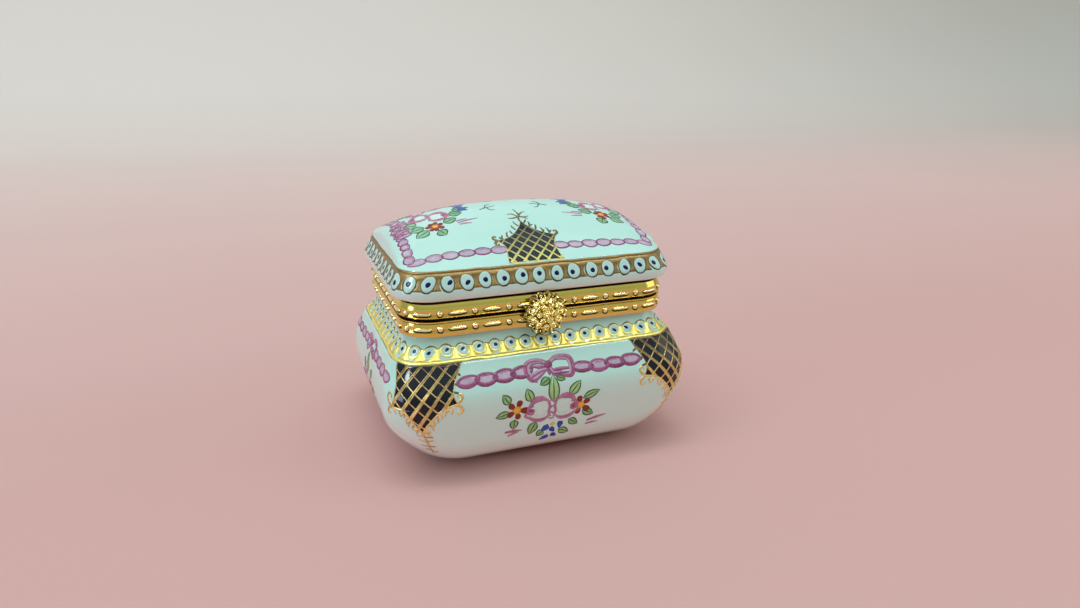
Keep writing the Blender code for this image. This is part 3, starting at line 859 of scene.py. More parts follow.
def make_rosette():
    """The cast flower head: a rim of grooved petals round a cluster of florets."""
    centre, half = centre_and_half("clasp_rosette")
    radius, depth = half[0], 2 * half[1]
    steps, rings = 448, 84
    angle = np.arange(steps) * 2 * PI / steps
    wave = np.abs(np.mod(angle * PETALS / (2 * PI), 1) - 0.5) * 2
    rim = radius * (0.89 + 0.11 * wave**0.8 + 0.012 * np.sin(5 * angle + 1))
    rim_x, rim_z = rim * np.cos(angle), rim * np.sin(angle)
    points = [
        np.column_stack([rim_x * share, np.full(steps, way), rim_z * share])
        for share, way in ((0.80, 0.0), (0.97, 0.28))
    ]
    tones = [np.full(steps, 0.3), np.full(steps, 0.7)]
    florets = [(0.0, 0.0, 0.95)]
    for count, share, size in ((6, 0.33, 0.72), (11, 0.60, 0.74)):
        for k in range(count):
            turn = 2 * PI * (k + draw.uniform(-0.15, 0.15)) / count
            way = radius * draw.uniform(share - 0.02, share + 0.03)
            florets.append((way * math.cos(turn), way * math.sin(turn), draw.uniform(0.88, 1.12) * size))
    grains = []
    for _ in range(GRAINS):
        way, turn = radius * 0.95 * draw.random() ** 0.5, draw.uniform(0, 2 * PI)
        grains.append((way * math.cos(turn), way * math.sin(turn), draw.uniform(0.15, 0.3)))
    for share in np.linspace(1.0, 0.01, rings):
        x, z = rim_x * share, rim_z * share
        dish = 0.3 + 0.2 * (1 - share**2)
        outer = bump_ring(x, z, PETALS, radius * 0.74, 0.0, radius * 0.56, 1.6, 0.7, 1.3)
        groove = bump_ring(x, z, 2 * PETALS, radius * 0.84, PI / PETALS / 2, radius * 0.34, 0.3, 0.35)
        tips = bump_ring(x, z, PETALS, radius * 0.88, 0.0, 0.6, 0.7, 0.95, 2.0)
        between = bump_ring(x, z, PETALS, radius * 0.8, PI / PETALS, 0.8, 0.42, 0.8, 2.0)
        petals = np.maximum.reduce([outer, tips, between]) - groove
        over = np.maximum(petals, 0.4 if share < 0.75 else 0.22)
        for cx, cz, size in florets:
            over = np.maximum(over, floret(x - cx, z - cz, size))
        for gx, gz, size in grains:
            over += 0.26 * np.sqrt(np.maximum(1 - ((x - gx) ** 2 + (z - gz) ** 2) / size**2, 0))
        grit = 0.05 * np.sin(7 * x + 3 * np.sin(5 * z)) * np.sin(8 * z + 2 * np.sin(6 * x))
        edge = np.clip((1 - share) * 14, 0, 1)
        height = np.minimum(dish + (over + grit) * edge, depth)
        points.append(np.column_stack([x, height, z]))
        # Painted shade in the hollows and painted highlight on the tops of the relief.
        tones.append(np.clip(over * 1.9 - 0.55, 0, 1))
    faces = loft_faces(rings + 2, steps)
    last = (rings + 2) * steps
    points = np.vstack([*points, [(0, 0, 0), (0, 1.9, 0)]])
    fan_cap(faces, 0, steps, last, True)
    fan_cap(faces, (rings + 1) * steps, steps, last + 1, False)
    # The flower was soldered on a few degrees out of true.
    turn = math.radians(ROSETTE_TURN)
    x = points[:, 0] * math.cos(turn) - points[:, 2] * math.sin(turn)
    z = points[:, 0] * math.sin(turn) + points[:, 2] * math.cos(turn)
    placed = centre + np.column_stack([x, half[1] - points[:, 1], z])
    tones = np.concatenate(tones + [[0.0, 1.0]])
    new_object("clasp_flower", placed, faces, cast_gilt, "lid", tones, 60, "clasp_rosette")


def revolve(name, node, profile, centre, material, body, steps=64):
    """A ring turned about an X axis from a closed profile of (radius, distance along the axis)."""
    angle = np.arange(steps) * 2 * PI / steps
    points = [
        np.column_stack([np.full(steps, along), radius * np.cos(angle), radius * np.sin(angle)]) + centre
        for radius, along in profile
    ]
    faces = loft_faces(len(profile), steps, endless=True)
    tones = np.full(len(profile) * steps, 0.8)
    new_object(name, np.vstack(points), faces, material, body, tones, 40, node)


def make_hinge():
    bore = 0.4
    for index in range(1, 6):
        node = f"hinge_knuckle_{index}"
        centre, (half, _, outer) = centre_and_half(node)
        end = [(outer, 0.14 - half), (outer - 0.05, 0.04 - half), (outer - 0.16, -half), (bore, -half)]
        profile = end[::-1]
        for middle in (-0.55 * half, 0.55 * half):
            profile += [(outer, middle - 0.12), (outer - 0.06, middle), (outer, middle + 0.12)]
        profile += [(r, -a) for r, a in end]
        body = "base" if index % 2 else "lid"
        revolve(f"knuckle_{index}", node, profile, centre, plain_gilt, body)
    centre, (half, _, radius) = centre_and_half("hinge_pin")
    end = [(0.001, -half), (radius * 0.6, 0.02 - half), (radius * 0.92, 0.09 - half), (radius, 0.2 - half)]
    profile = end + [(r, -a) for r, a in end[::-1]]
    revolve("pin", "hinge_pin", profile, centre, pin_metal, "base")


def soft_plate(name, node, body):
    """A thin gilt plate with rounded corners and edges that fills a CAD node's box."""
    rounding, count = 0.3, 96
    centre, half = centre_and_half(node)
    s = np.arange(count) * 4 * quarter_length(half[0], half[2], rounding) / count
    rings = []
    for inset, y in ((0.05, 1.0), (0.0, 0.7), (0.0, -0.7), (0.05, -1.0)):
        x, z = outline_point(half[0] - inset, half[2] - inset, rounding, s)
        rings.append(np.column_stack([x, np.full(count, y * half[1]), z]) + centre)
    faces = loft_faces(4, count)
    fan_cap(faces, 0, count, 4 * count, True)
    fan_cap(faces, 3 * count, count, 4 * count + 1, False)
    points = np.vstack([*rings, centre + (0, half[1], 0), centre - (0, half[1], 0)])
    new_object(name, points, faces, plain_gilt, body, np.full(len(points), 0.6), 40, node)


make_rosette()
make_hinge()
soft_plate("lower_leaf", "lower_hinge_leaf", "base")
soft_plate("upper_leaf", "upper_hinge_leaf", "lid")

# These show as the CAD made them.
for node, material, slot in (
    ("clasp_tongue", plain_gilt, "gilt_brass"),
    ("catch_stud", plain_gilt, "gilt_brass"),
    ("base_cement", cement, "cement"),
    ("lid_cement", cement, "cement"),
):
    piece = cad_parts[node]
    piece.data.materials.clear()
    piece.data.materials.append(material)


# ---- Painted motifs. Chart points are (right, up) in mm, seen from outside. ----

def line_round(on, paint, rows, t, width, layer=0, tone=0.5, wander=0.06):
    """A painted line all the way round at a distance t down the profile, on the chart at anchor 0."""
    count = 560
    u = np.arange(count) / count
    edges = []
    # Three waves of different lengths: size, turns, start.
    waves = ((1.0, 9, 1), (0.6, 23, 0), (0.4, 41, 2))
    shake = wander * sum(size * np.sin(2 * PI * turns * u + start) for size, turns, start in waves)
    for side in (-0.5, 0.5):
        here = t + side * width
        edges.append(np.column_stack([u * length_round(rows, here), -here + shake * (1 + 0.5 * side)]))
    on.strip(paint, *edges, layer, tone, closed=True)


def places_round(rows, t, count, start):
    """(anchor, distance from it) of evenly spaced places all the way round."""
    size = section_at(rows, t)[1:]
    total = 4 * quarter_length(*size)
    anchors = [anchor_length(*size, k) for k in range(8)] + [total]
    found = []
    for k in range(count):
        s = (start + k * total / count) % total
        nearest = min(range(9), key=lambda i: abs(anchors[i] - s))
        found.append((nearest % 8, s - anchors[nearest]))
    return found, total / count


def upright(rows, t, anchor, d):
    """Slant that keeps a mark upright on the straight wall beside a corner, where the wall leans in."""
    if anchor % 2 == 0 or abs(d) < CORNER * PI / 4:
        return 0.0
    growth = (section_at(rows, t + 1)[1] - section_at(rows, t - 1)[1]) / 2
    return -math.copysign(growth, d)


def gap_filler(on, paint, middle, half, up, lean, tone, across=2):
    """A waisted upright bar between two ovals."""
    left = np.column_stack([middle - half + lean, up])
    right = np.column_stack([middle + half + lean, up])
    on.strip(paint, left, right, 0, tone, across=across)


def paint_lid_band(on):
    """Ovals with a dark pupil, parted by brown-gold bars."""
    count, start = 52, -1.4
    places, pitch = places_round(BAND, 2.7, count, start)
    for anchor, d in places:
        on.chart = band_chart(anchor)
        d += draw.uniform(-0.12, 0.12)
        wide = draw.uniform(2.5, 2.75)
        tall = draw.uniform(3.0, 3.3)
        drop = -2.4 + draw.uniform(-0.1, 0.1)
        slant = upright(BAND, -drop, anchor, d)
        shape = {"wobble": 0.03, "count": 30, "slant": slant, "box": 0.9}
        ring = ((d, drop - 0.06), wide + 0.44, tall + 0.34, 0.0, 1)
        on.oval("dull_gold", *ring, draw.uniform(0, 0.25), **shape)
        on.oval("white", (d, drop), wide, tall, 0.0, 2, draw.uniform(0.3, 0.7), **shape)
        dot = (d + draw.uniform(-0.35, 0.35), drop + draw.uniform(-0.35, 0.3))
        on.oval("dot_blue", dot, 1.08, 1.12, 0.0, 3, 0.9, 0.0, wobble=0.04)
        up = np.linspace(-1.0, -3.7, 9)
        half = 0.32 + 0.8 * ((up + 2.4) / 1.3) ** 2
        lean = (draw.uniform(0.0, 0.15) + slant) * (up - drop)
        gap_filler(on, "dull_gold", d + pitch / 2, half, up, lean, draw.uniform(0.4, 0.8), 3)
    on.chart = band_chart(0)
    line_round(on, "dull_gold", BAND, 0.36, 0.5, 1, 0.55)
    line_round(on, "dull_gold", BAND, 1.12, 1.2, 0, 0.75, 0.1)


def paint_base_band(on):
    """Smaller eyes on bright gold in the cove, and the gold line on the shoulder."""
    height, wanted_pitch = 2.9, 3.09
    count = round(length_round(BOWL, -height) / wanted_pitch)
    start = -0.9
    places, pitch = places_round(BOWL, -height, count, start)
    for anchor, d in places:
        on.chart = bowl_chart(anchor)
        d += draw.uniform(-0.1, 0.1)
        rise = height + draw.uniform(-0.12, 0.12)
        size = draw.uniform(2.15, 2.4)
        slant = upright(BOWL, -rise, anchor, d)
        shape = {"slant": slant, "count": 24}
        uneven = {"wobble": 0.03, **shape}
        on.oval("dull_gold", (d, rise + 0.05), size + 0.5, size + 0.56, 0.0, 0, 0.2, **uneven)
        ring = ((d, rise - 0.1), size + 0.34, size + 0.36, 0.0, 1)
        on.oval("gold", *ring, draw.uniform(0.4, 0.8), **shape)
        on.oval("white", (d, rise), size, size, 0.0, 2, draw.uniform(0.2, 0.6), **uneven)
        dot = (d + draw.uniform(-0.2, 0.2), rise + draw.uniform(-0.15, 0.2))
        on.oval("dot_blue", dot, 0.85, 0.85, 0.0, 3, 0.9, 0.0, wobble=0.05, count=16)
        up = np.linspace(1.05, 3.6, 8)
        half = 0.42 + 0.4 * ((up - 2.85) / 1.1) ** 2
        lean = slant * (up - rise)
        gap_filler(on, "gold", d + pitch / 2, half, up, lean, draw.uniform(0.3, 0.9))
    on.chart = bowl_chart(0)
    line_round(on, "gold", BOWL, -0.78, 0.62, 1, 0.85, 0.08)
    line_round(on, "dull_gold", BOWL, -0.46, 0.16, 0, 0.4, 0.03)


def edges_at(left_edge, right_edge, count=90):
    """Both edges of a patch taken at common heights."""
    left = np.array(left_edge, float)
    right = np.array(right_edge, float)
    if left[0, 1] > left[-1, 1]:
        left, right = left[::-1], right[::-1]
    up = np.linspace(max(left[0, 1], right[0, 1]), min(left[-1, 1], right[-1, 1]), count)
    return np.interp(up, left[:, 1], left[:, 0]), np.interp(up, right[:, 1], right[:, 0]), up


def lattice(on, paint, left, right, up, slope, spacing, widths, tones, double=0.0, layer=1):
    """Parallel slanting lines kept inside a patch; width and tone run from its bottom to its top, the tone
    giving a painted reflection.
    """
    direction = np.array([1.0, slope]) / math.hypot(1, slope)
    side = np.array([-direction[1], direction[0]])
    middle = np.array([(left.min() + right.max()) / 2, (up[0] + up[-1]) / 2])
    reach = math.hypot(right.max() - left.min(), up[-1] - up[0]) / 2
    along = np.arange(-reach, reach, 0.12)[:, None]
    for k in range(-int(reach / spacing), int(reach / spacing) + 1):
        bow = draw.uniform(-0.12, 0.12)
        for shift in (-double, double) if double else (0.0,):
            path = middle + direction * along + side * (k * spacing + shift + bow * np.cos(along * 0.25))
            keep = (path[:, 1] > up[0] + 0.05) & (path[:, 1] < up[-1] - 0.05)
            keep &= (path[:, 0] > np.interp(path[:, 1], up, left) + 0.05)
            keep &= (path[:, 0] < np.interp(path[:, 1], up, right) - 0.05)
            for run in np.split(np.arange(len(path)), np.where(~keep)[0]):
                run = run[keep[run]]
                if len(run) < 6:
                    continue
                points = np.vstack([path[run][::max(len(run) // 6, 1)], path[run][-1:]])
                share = (points[:, 1] - up[0]) / (up[-1] - up[0])
                wide = (widths[0] + (widths[1] - widths[0]) * share) * draw.uniform(0.85, 1.15)
                tone = np.clip(tones[0] + (tones[1] - tones[0]) * share + draw.uniform(-0.12, 0.12), 0, 1)
                on.stroke(paint, points, wide, layer, tone)


def paint_patch(on, gold, left_edge, right_edge, slopes, spacing, lines, double, tones, rim):
    """A navy patch under a gold lattice with a gold outline, the gold given a painted reflection that runs
    from light to dark up the patch.
    """
    left, right, up = edges_at(left_edge, right_edge)
    on.strip("navy", np.column_stack([left, up]), np.column_stack([right, up]), 0, 0.4, across=24)
    lattice(on, gold, left, right, up, slopes[0], spacing, (lines[0] * 0.8, lines[1] * 0.7), tones)
    lattice(on, gold, left, right, up, slopes[1], spacing * 1.08, lines, tones, double, 2)
    # The outline's tones follow the same painted reflection.
    down = left_edge[0][1] > left_edge[-1][1]
    base_tone, tip_tone = tones[::-1] if down else tones
    for edge, side in ((left_edge, -1), (right_edge, 1)):
        cusp = max(range(1, len(edge)), key=lambda k: side * edge[k][0])
        on.stroke(gold, edge[:cusp + 1], [0.14, 0.16, 0.2], 2, [base_tone, (base_tone + tip_tone) / 2])
        on.stroke(gold, edge[cusp:], [rim * 0.8, rim, rim * 0.9, rim], 2, tip_tone)
    on.stroke(gold, [left_edge[0], right_edge[0]], [0.2, 0.2], 1, [base_tone, base_tone])


def feathers(on, paint, path, length, side, layer=1, spacing=0.95, tone=0.3, lean=(0.3, 0.9), forks=0.35):
    """Short curved barbs off one side of a path, leaning along it, some of them in pairs."""
    fine = smooth_path(path, 0.1)
    travelled = np.append(0, np.cumsum(np.linalg.norm(np.diff(fine, axis=0), axis=1)))
    stops = np.arange(spacing / 2, travelled[-1], spacing)
    line = np.column_stack([np.interp(stops, travelled, fine[:, k]) for k in (0, 1)])
    ahead = np.gradient(line, axis=0)
    ahead /= np.linalg.norm(ahead, axis=1)[:, None] + 1e-9
    out = np.column_stack([-ahead[:, 1], ahead[:, 0]]) * side
    for k in range(len(line)):
        for fork in (1, -0.5)[:1 + (draw.random() < forks)]:
            size = length * draw.uniform(0.6, 1.15) * (1 if fork > 0 else 0.7)
            root = line[k] + draw.uniform(-0.2, 0.2) * ahead[k]
            tip = root + out[k] * size + ahead[k] * size * draw.uniform(*lean) * fork
            bend = (root + tip) / 2 + out[k] * size * 0.2
            shade = tone + draw.uniform(-0.2, 0.2)
            on.stroke(paint, [root, bend, tip], [0.4, 0.42, 0.14], layer, shade, step=0.25)


def scroll(on, paint, root, angle, size, side, layer=2, tone=0.35):
    """A small curl standing off a cusp."""
    curl = [(0, 0), (0.55, 0.12), (1.0, 0.5), (0.95, 1.05), (0.5, 1.15), (0.4, 0.8)]
    curl = [(x, y * side) for x, y in curl]
    on.stroke(paint, turned(curl, angle, root, size), [0.6, 0.62, 0.42, 0.2], layer, tone)


def paint_corner_patches(on):
    """The lattice patch at each corner of the bowl, larger towards the front and back faces."""
    left_edge = [
        (-2.4, 0.4), (-2.1, -1.8), (-1.7, -3.7), (-1.9, -5.85), (-2.5, -7.75), (-0.9, -7.8),
        (0.2, -7.95), (1.1, -8.8), (1.9, -9.8), (2.7, -11.0), (3.5, -12.3),
    ]
    right_edge = [
        (10.2, 0.4), (9.8, -1.6), (9.5, -3.0), (9.3, -4.6), (9.6, -6.0), (10.3, -7.2), (9.2, -7.45),
        (8.2, -7.65), (7.1, -8.2), (6.2, -9.0), (5.4, -9.9), (4.3, -11.2), (3.6, -12.3),
    ]
    right_fringe = [(9.9, -7.5), (7.3, -8.3), (5.6, -9.9), (3.9, -12.2)]
    left_fringe = [(-2.2, -8.0), (0.3, -8.2), (1.9, -10.1), (3.3, -12.2)]
    upper_fringe = [(9.9, -0.8), (9.3, -3.5), (9.5, -6.2)]
    stem = [(3.55, -12.2), (3.4, -14.0), (2.5, -16.2), (1.5, -18.3)]
    gold = "worn_gold"
    for anchor, mirror in ((7, 1), (1, -1), (3, 1), (5, -1)):
        on.chart = bowl_chart(anchor, mirror)
        # Painted reflection: the gold is light at the patch's bottom and dark at its top.
        lines, tones = (0.46, 0.26), (1.0, 0.15)
        paint_patch(on, gold, left_edge, right_edge, (-0.85, 1.5), 2.0, lines, 0.16, tones, 0.46)
        feathers(on, gold, right_fringe, 1.35, 1, spacing=1.05, tone=0.85)
        feathers(on, gold, left_fringe, 1.25, -1, spacing=1.05, tone=0.65)
        on.stroke(gold, stem, [0.6, 0.5, 0.3], 1, 0.8)
        for side in (1, -1):
            feathers(on, gold, stem, 1.35, side, spacing=1.5, tone=0.6, lean=(-0.5, 0.3), forks=0)
        scroll(on, gold, (10.1, -7.3), -15, 1.35, -1, tone=0.9)
        scroll(on, gold, (10.1, -7.1), 20, 1.25, 1, tone=0.7)
        scroll(on, gold, (-2.4, -7.7), 185, 1.1, 1, tone=0.7)
        scroll(on, gold, (-2.3, -7.6), 165, 1.7, -1, tone=0.5)
        feathers(on, "dull_gold", upper_fringe, 1.1, 1, spacing=1.7, tone=0.0)


def paint_lid_patches(on):
    """The lattice patch rising from the crease in the middle of the front and of the back."""
    left_edge = [
        (-6.9, -19.45), (-6.6, -18.0), (-6.3, -16.4), (-6.5, -15.2), (-7.4, -14.1), (-5.9, -13.8),
        (-4.7, -13.4), (-3.4, -12.5), (-2.3, -11.3), (-1.5, -10.2), (-1.05, -9.3),
    ]
    right_edge = [
        (4.1, -19.45), (3.7, -18.0), (3.5, -16.4), (3.8, -15.0), (4.6, -13.7), (3.2, -13.2),
        (1.9, -12.6), (0.7, -11.7), (-0.1, -10.8), (-0.6, -10.0), (-0.95, -9.3),
    ]
    left_fringe = [(-7.1, -13.9), (-4.6, -13.1), (-2.4, -11.0), (-1.2, -9.4)]
    right_fringe = [(4.3, -13.4), (1.8, -12.3), (-0.1, -10.6), (-0.9, -9.4)]
    stem = [(-1.05, -9.3), (-1.2, -8.4), (-0.7, -6.9), (-1.2, -4.8)]
    twigs = (
        ((0.9, -6.0), 0.3), ((-3.0, -6.6), 0.4), ((1.2, -7.6), -0.4), ((-3.2, -8.0), -0.3), ((0.7, -8.6), 0.2)
    )
    gold, dark = "olive_gold", "dull_gold"
    for turn in (1, -1):
        on.chart = dome_chart(turn)
        # Painted reflection: the gold is light at the patch's bottom and dark at its top.
        lines, tones = (0.55, 0.2), (1.0, 0.1)
        paint_patch(on, gold, left_edge, right_edge, (-1.0, 1.0), 1.6, lines, 0.0, tones, 0.2)
        feathers(on, dark, left_fringe, 1.3, 1, spacing=1.4, tone=0.1)
        feathers(on, dark, right_fringe, 1.3, -1, spacing=1.4, tone=0.1)
        on.stroke(dark, stem, [0.45, 0.4, 0.18], 1, 0.3)
        for end, sag in twigs:
            middle = ((end[0] - 1.0) / 2, (end[1] - 7.4) / 2 + sag)
            on.stroke(dark, [(-1.0, -7.6), middle, end], [0.36, 0.44, 0.16], 1, draw.uniform(0.1, 0.5))
        for root, angle, side in (((4.4, -13.6), 15, 1), ((-7.2, -14.0), 170, -1), ((-7.2, -14.0), 195, 1)):
            scroll(on, dark, root, angle, 0.9, side)


def link(on, centre, angle, wide, tall, line):
    """One chain link: a lilac lens in an uneven mauve line."""
    turn = np.linspace(0, 2 * PI, 21)[:-1]
    lean = draw.uniform(0, 2 * PI)
    swell = np.sign(np.sin(turn)) * np.abs(np.sin(turn)) ** 1.3
    ring = np.column_stack([np.cos(turn) * wide / 2, swell * tall / 2 * (1 + 0.1 * np.cos(turn + lean))])
    placed = turned(ring, angle, centre)
    filling = turned(ring * 0.97, angle, centre)
    on.blob("lilac", filling, 0, draw.uniform(0.2, 0.7), draw.uniform(0.4, 1.0))
    widths = [line * k * draw.uniform(0.8, 1.2) for k in (1.1, 0.7, 1.2, 1.45, 1.1)]
    round_it = np.vstack([placed, placed[:1]])
    on.stroke("mauve", round_it, widths, 1, draw.uniform(0.1, 0.6), closed=True)
    inner = turned(ring[3:9] * 0.62, angle, centre)
    on.stroke("mauve", inner, [0.08, line * 0.5, 0.08], 1, draw.uniform(0.5, 1.0))


def chain(on, start, end, pitch, wide, tall, line, bend=0.0):
    """Links one after another along a line between two chart points."""
    way = np.subtract(end, start)
    length = math.hypot(*way)
    count = max(round(length / pitch), 1)
    angle = math.degrees(math.atan2(way[1], way[0]))
    across = np.array([-way[1], way[0]]) / length
    for k in range(count):
        share = (k + 0.5) / count
        off = bend * math.sin(PI * share) + draw.uniform(-0.08, 0.08)
        centre = start + way * share + across * off
        link(on, centre, angle + draw.uniform(-7, 7), wide * length / count / pitch,
             tall * draw.uniform(0.85, 1.08), line)


def strokes(on, at, rows):
    """Strokes from rows of paint, points, widths, layer and tone."""
    for key, points, widths, layer, tone in rows:
        on.stroke(key, at(points), widths, layer, tone)


BOW_LOOPS = (
    [(0.0, 0.1), (-1.0, 0.85), (-2.6, 1.05), (-4.1, 0.6), (-4.4, -0.9), (-3.6, -2.3), (-2.0, -1.6)],
    [(0.2, 0.3), (1.4, 1.2), (3.0, 1.3), (4.4, 0.8), (4.7, -0.8), (4.2, -2.3), (2.3, -1.9), (0.9, -1.6)],
)
BOW_FOLDS = (
    ("mauve", [(-3.3, 0.2), (-1.8, -0.1), (-0.6, 0.0)], [0.3, 0.9, 0.9], 2, 0.6),
    ("lilac", [(-3.9, -1.5), (-2.2, -0.9), (-0.7, -0.6)], [0.5, 0.8, 0.5], 2, 0.2),
    ("mauve", [(-3.6, -1.9), (-2.2, -1.25), (-0.9, -0.8)], [0.3, 0.4, 0.3], 3, 0.3),
    ("mauve", [(0.7, -1.0), (2.4, -0.95), (4.0, -1.0)], [0.6, 0.8, 0.6], 2, 0.5),
    ("mauve", [(0.9, -1.7), (2.4, -1.75), (3.9, -1.8)], [0.4, 0.55, 0.4], 3, 0.35),
)
BOW_TAILS = (
    ("mauve", [(0.1, -0.2), (-0.1, -1.0), (0.0, -1.9)], [1.0, 0.9, 0.4], 1, 0.5),
    ("mauve", [(-3.7, -2.2), (-3.2, -2.7), (-2.6, -2.9)], [0.6, 0.45, 0.15], 1, 0.5),
)


def bow(on, centre, size=1.0):
    """Two ribbon loops, a knot and short tails."""
    def at(points):
        return turned(points, 0, centre, size)
    for outer in BOW_LOOPS:
        middle = [(x * 0.93, y * 0.9) for x, y in outer]
        inner = [(x * 0.99, y * 0.98) for x, y in outer[1:-1]]
        strokes(on, at, (
            ("mauve", outer + [(0.0, 0.0)], [0.9, 1.3, 1.5, 1.3, 1.2, 0.9], 1, 0.75),
            ("lilac", middle + [(0.1, 0.0)], [0.3, 0.6, 0.7, 0.5, 0.3], 2, 0.4),
            ("mauve", inner, [0.1, 0.25, 0.2, 0.08], 3, 0.2),
        ))
    strokes(on, at, BOW_FOLDS)
    on.oval("mauve", at([(0.0, 0.15)])[0], 1.9 * size, 1.6 * size, 25, 3, 0.0, 0.2, 0.05)
    strokes(on, at, BOW_TAILS)


def leaf(on, base, tip, wide=1.1, fill=0.4, bright=False, kind="leaf"):
    """A light leaf with dark sides and a midrib."""
    way = np.subtract(tip, base)
    across = np.array([-way[1], way[0]]) / (math.hypot(*way) + 1e-9)
    share = np.linspace(0, 1, 9)[:, None]
    half = wide * 0.6 * np.sin(PI * share**0.8) ** 0.8
    one = base + way * share + across * half
    other = base + way * share - across * half
    outline = np.vstack([one, other[-2:0:-1]])
    on.blob(kind, outline, 0, fill, min(fill + (0.5 if bright else 0.25), 1.0))
    dark = "leaf_dark"
    on.stroke(dark, one[::2], [0.12, 0.3, 0.26, 0.1], 1, draw.uniform(0.2, 0.7), step=0.4)
    on.stroke(dark, other[::2], [0.1, 0.26, 0.3, 0.1], 1, draw.uniform(0.2, 0.7), step=0.4)
    midrib = [base + way * 0.1, base + way * 0.5 + across * 0.05, base + way * 0.85]
    on.stroke(dark, midrib, [0.2, 0.3, 0.08], 1, 0.3, step=0.4)


def daisy(on, centre, size=1.0, start=70, petals=5, squeeze=1.0):
    """Separate red strokes round a yellow eye."""
    for k in range(petals):
        angle = start + 360 / petals * k + draw.uniform(-8, 8)
        length = size * draw.uniform(0.85, 1.1)
        half = ((0.4, 0.16), (0.85, 0.46), (1.4, 0.64), (1.9, 0.5))
        ring = [*half, (2.12, 0.0), *((x, -y) for x, y in half[::-1])]
        petal = turned(ring, angle, (0, 0), length)
        petal[:, 1] *= squeeze
        on.blob("red", petal + np.array(centre), 1, draw.uniform(0.2, 0.6), draw.uniform(0.5, 1.0))
    on.oval("yellow", centre, 1.5 * size, 1.5 * size * squeeze, 0, 2, 0.2, 0.9, 0.05)


ROSE_PETALS = (
    ("pink", [(1.9, 0.9), (1.0, 1.9), (-0.2, 2.05), (-1.3, 1.6)], [0.6, 1.25, 1.2, 0.5], 1, 0.65),
    ("pink", [(1.5, 1.1), (0.7, 1.5), (-0.4, 1.6)], [0.15, 0.3, 0.1], 2, 0.15),
    ("pink", [(-1.3, 1.7), (-1.75, 0.5), (-1.6, -0.8), (-2.0, -1.7)], [0.45, 0.7, 0.65, 0.3], 1, 0.6),
    ("pink", [(2.1, -1.2), (0.9, -2.0), (-0.6, -2.1), (-1.7, -1.4)], [0.6, 0.95, 0.95, 0.4], 1, 0.7),
    ("pink", [(1.6, -1.6), (0.4, -2.0), (-0.8, -1.9)], [0.1, 0.3, 0.1], 2, 0.2),
    ("pink", [(1.2, 1.0), (2.0, 0.6), (2.1, -0.4), (1.4, -0.7), (1.1, 0.0), (1.6, 0.2)],
     [0.7, 0.8, 0.7, 0.5, 0.4], 2, 0.5),
    ("pink", [(2.1, -0.2), (2.6, -0.9), (1.9, -1.5)], [0.5, 0.8, 0.4], 1, 0.75),
)


def rose(on, centre, side=1, size=1.0, squeeze=1.0):
    """A white heart between broad pink strokes, with a curl on its outer side."""
    def at(points):
        return turned(np.array(points) * (side, squeeze), 0, centre, size)
    on.oval("rose_white", centre, 3.0 * size, 3.2 * size * squeeze, 0, 0, 0.7, 1.0, 0.04, 24)
    strokes(on, at, ROSE_PETALS)
    on.oval("pink", at([(1.6, 0.0)])[0], 0.8 * size, 0.8 * size * squeeze, 0, 3, 0.1)


def dash(on, paint, start, end, width, tone=0.4):
    """One pressed brush mark, fat at its start."""
    middle = ((start[0] + end[0]) / 2, (start[1] + end[1]) / 2 + 0.08)
    on.stroke(paint, [start, middle, end], [width * 0.75, width, width * 0.3], 1, tone, step=0.3)


def dashes(on, paint, rows, darkest, palest):
    """Dashes from rows of start, end and width."""
    for start, end, width in rows:
        dash(on, paint, start, end, width, draw.uniform(darkest, palest))


# Leaves are rows of base, tip, width and fill.
FACE_LEAVES = (
    ((-0.9, -4.9), (-3.0, -6.0), 1.2, 0.2), ((0.4, -4.8), (2.2, -5.6), 0.9, 0.3),
    ((-4.8, -9.0), (-5.7, -6.3), 1.4, 0.6), ((2.9, -8.8), (5.3, -6.2), 1.5, 0.7),
    ((-9.1, -8.9), (-10.4, -6.8), 1.3, 0.5), ((-9.1, -10.6), (-11.9, -11.3), 1.2, 0.5),
    ((-8.1, -12.3), (-8.4, -14.4), 1.3, 0.4), ((-3.8, -13.6), (-5.2, -16.2), 1.5, 0.4),
    ((-2.2, -15.8), (-3.5, -17.0), 1.2, 0.4), ((0.95, -16.2), (3.2, -17.3), 1.3, 0.4),
    ((2.9, -14.2), (4.9, -15.5), 1.2, 0.3), ((5.7, -9.9), (9.2, -8.6), 1.2, 0.6),
    ((5.7, -12.6), (8.1, -13.8), 1.3, 0.3),
)
FACE_BLUES = (
    ((-1.1, -15.0), (-2.6, -15.9), 1.615), ((-0.8, -15.5), (0.1, -16.6), 1.33),
    ((-1.0, -17.5), (-2.7, -18.4), 1.425), ((-0.5, -17.2), (0.6, -17.9), 1.33),
    ((1.3, -14.3), (1.1, -15.9), 1.425),
)
FACE_PINKS = (
    ((-10.0, -14.9), (-6.6, -14.9), 0.75), ((-9.4, -15.8), (-7.2, -15.2), 0.6),
    ((6.9, -15.2), (10.9, -14.4), 0.75), ((6.6, -16.0), (9.3, -15.8), 0.6),
)
SIDE_LEAVES = (
    ((-2.6, -9.6), (-4.2, -7.3), 1.3, 0.5), ((2.7, -9.5), (4.4, -7.2), 1.3, 0.6),
    ((-4.4, -11.4), (-7.0, -11.0), 1.2, 0.4), ((4.4, -11.3), (7.0, -10.8), 1.2, 0.5),
    ((-2.4, -13.4), (-4.2, -15.2), 1.3, 0.4), ((2.4, -13.5), (4.1, -15.2), 1.3, 0.3),
)
SIDE_BLUES = (
    ((-0.6, -14.4), (-1.8, -15.4), 0.7), ((0.2, -14.6), (0.9, -15.8), 0.7),
    ((-0.4, -15.9), (-1.2, -16.9), 0.7),
)


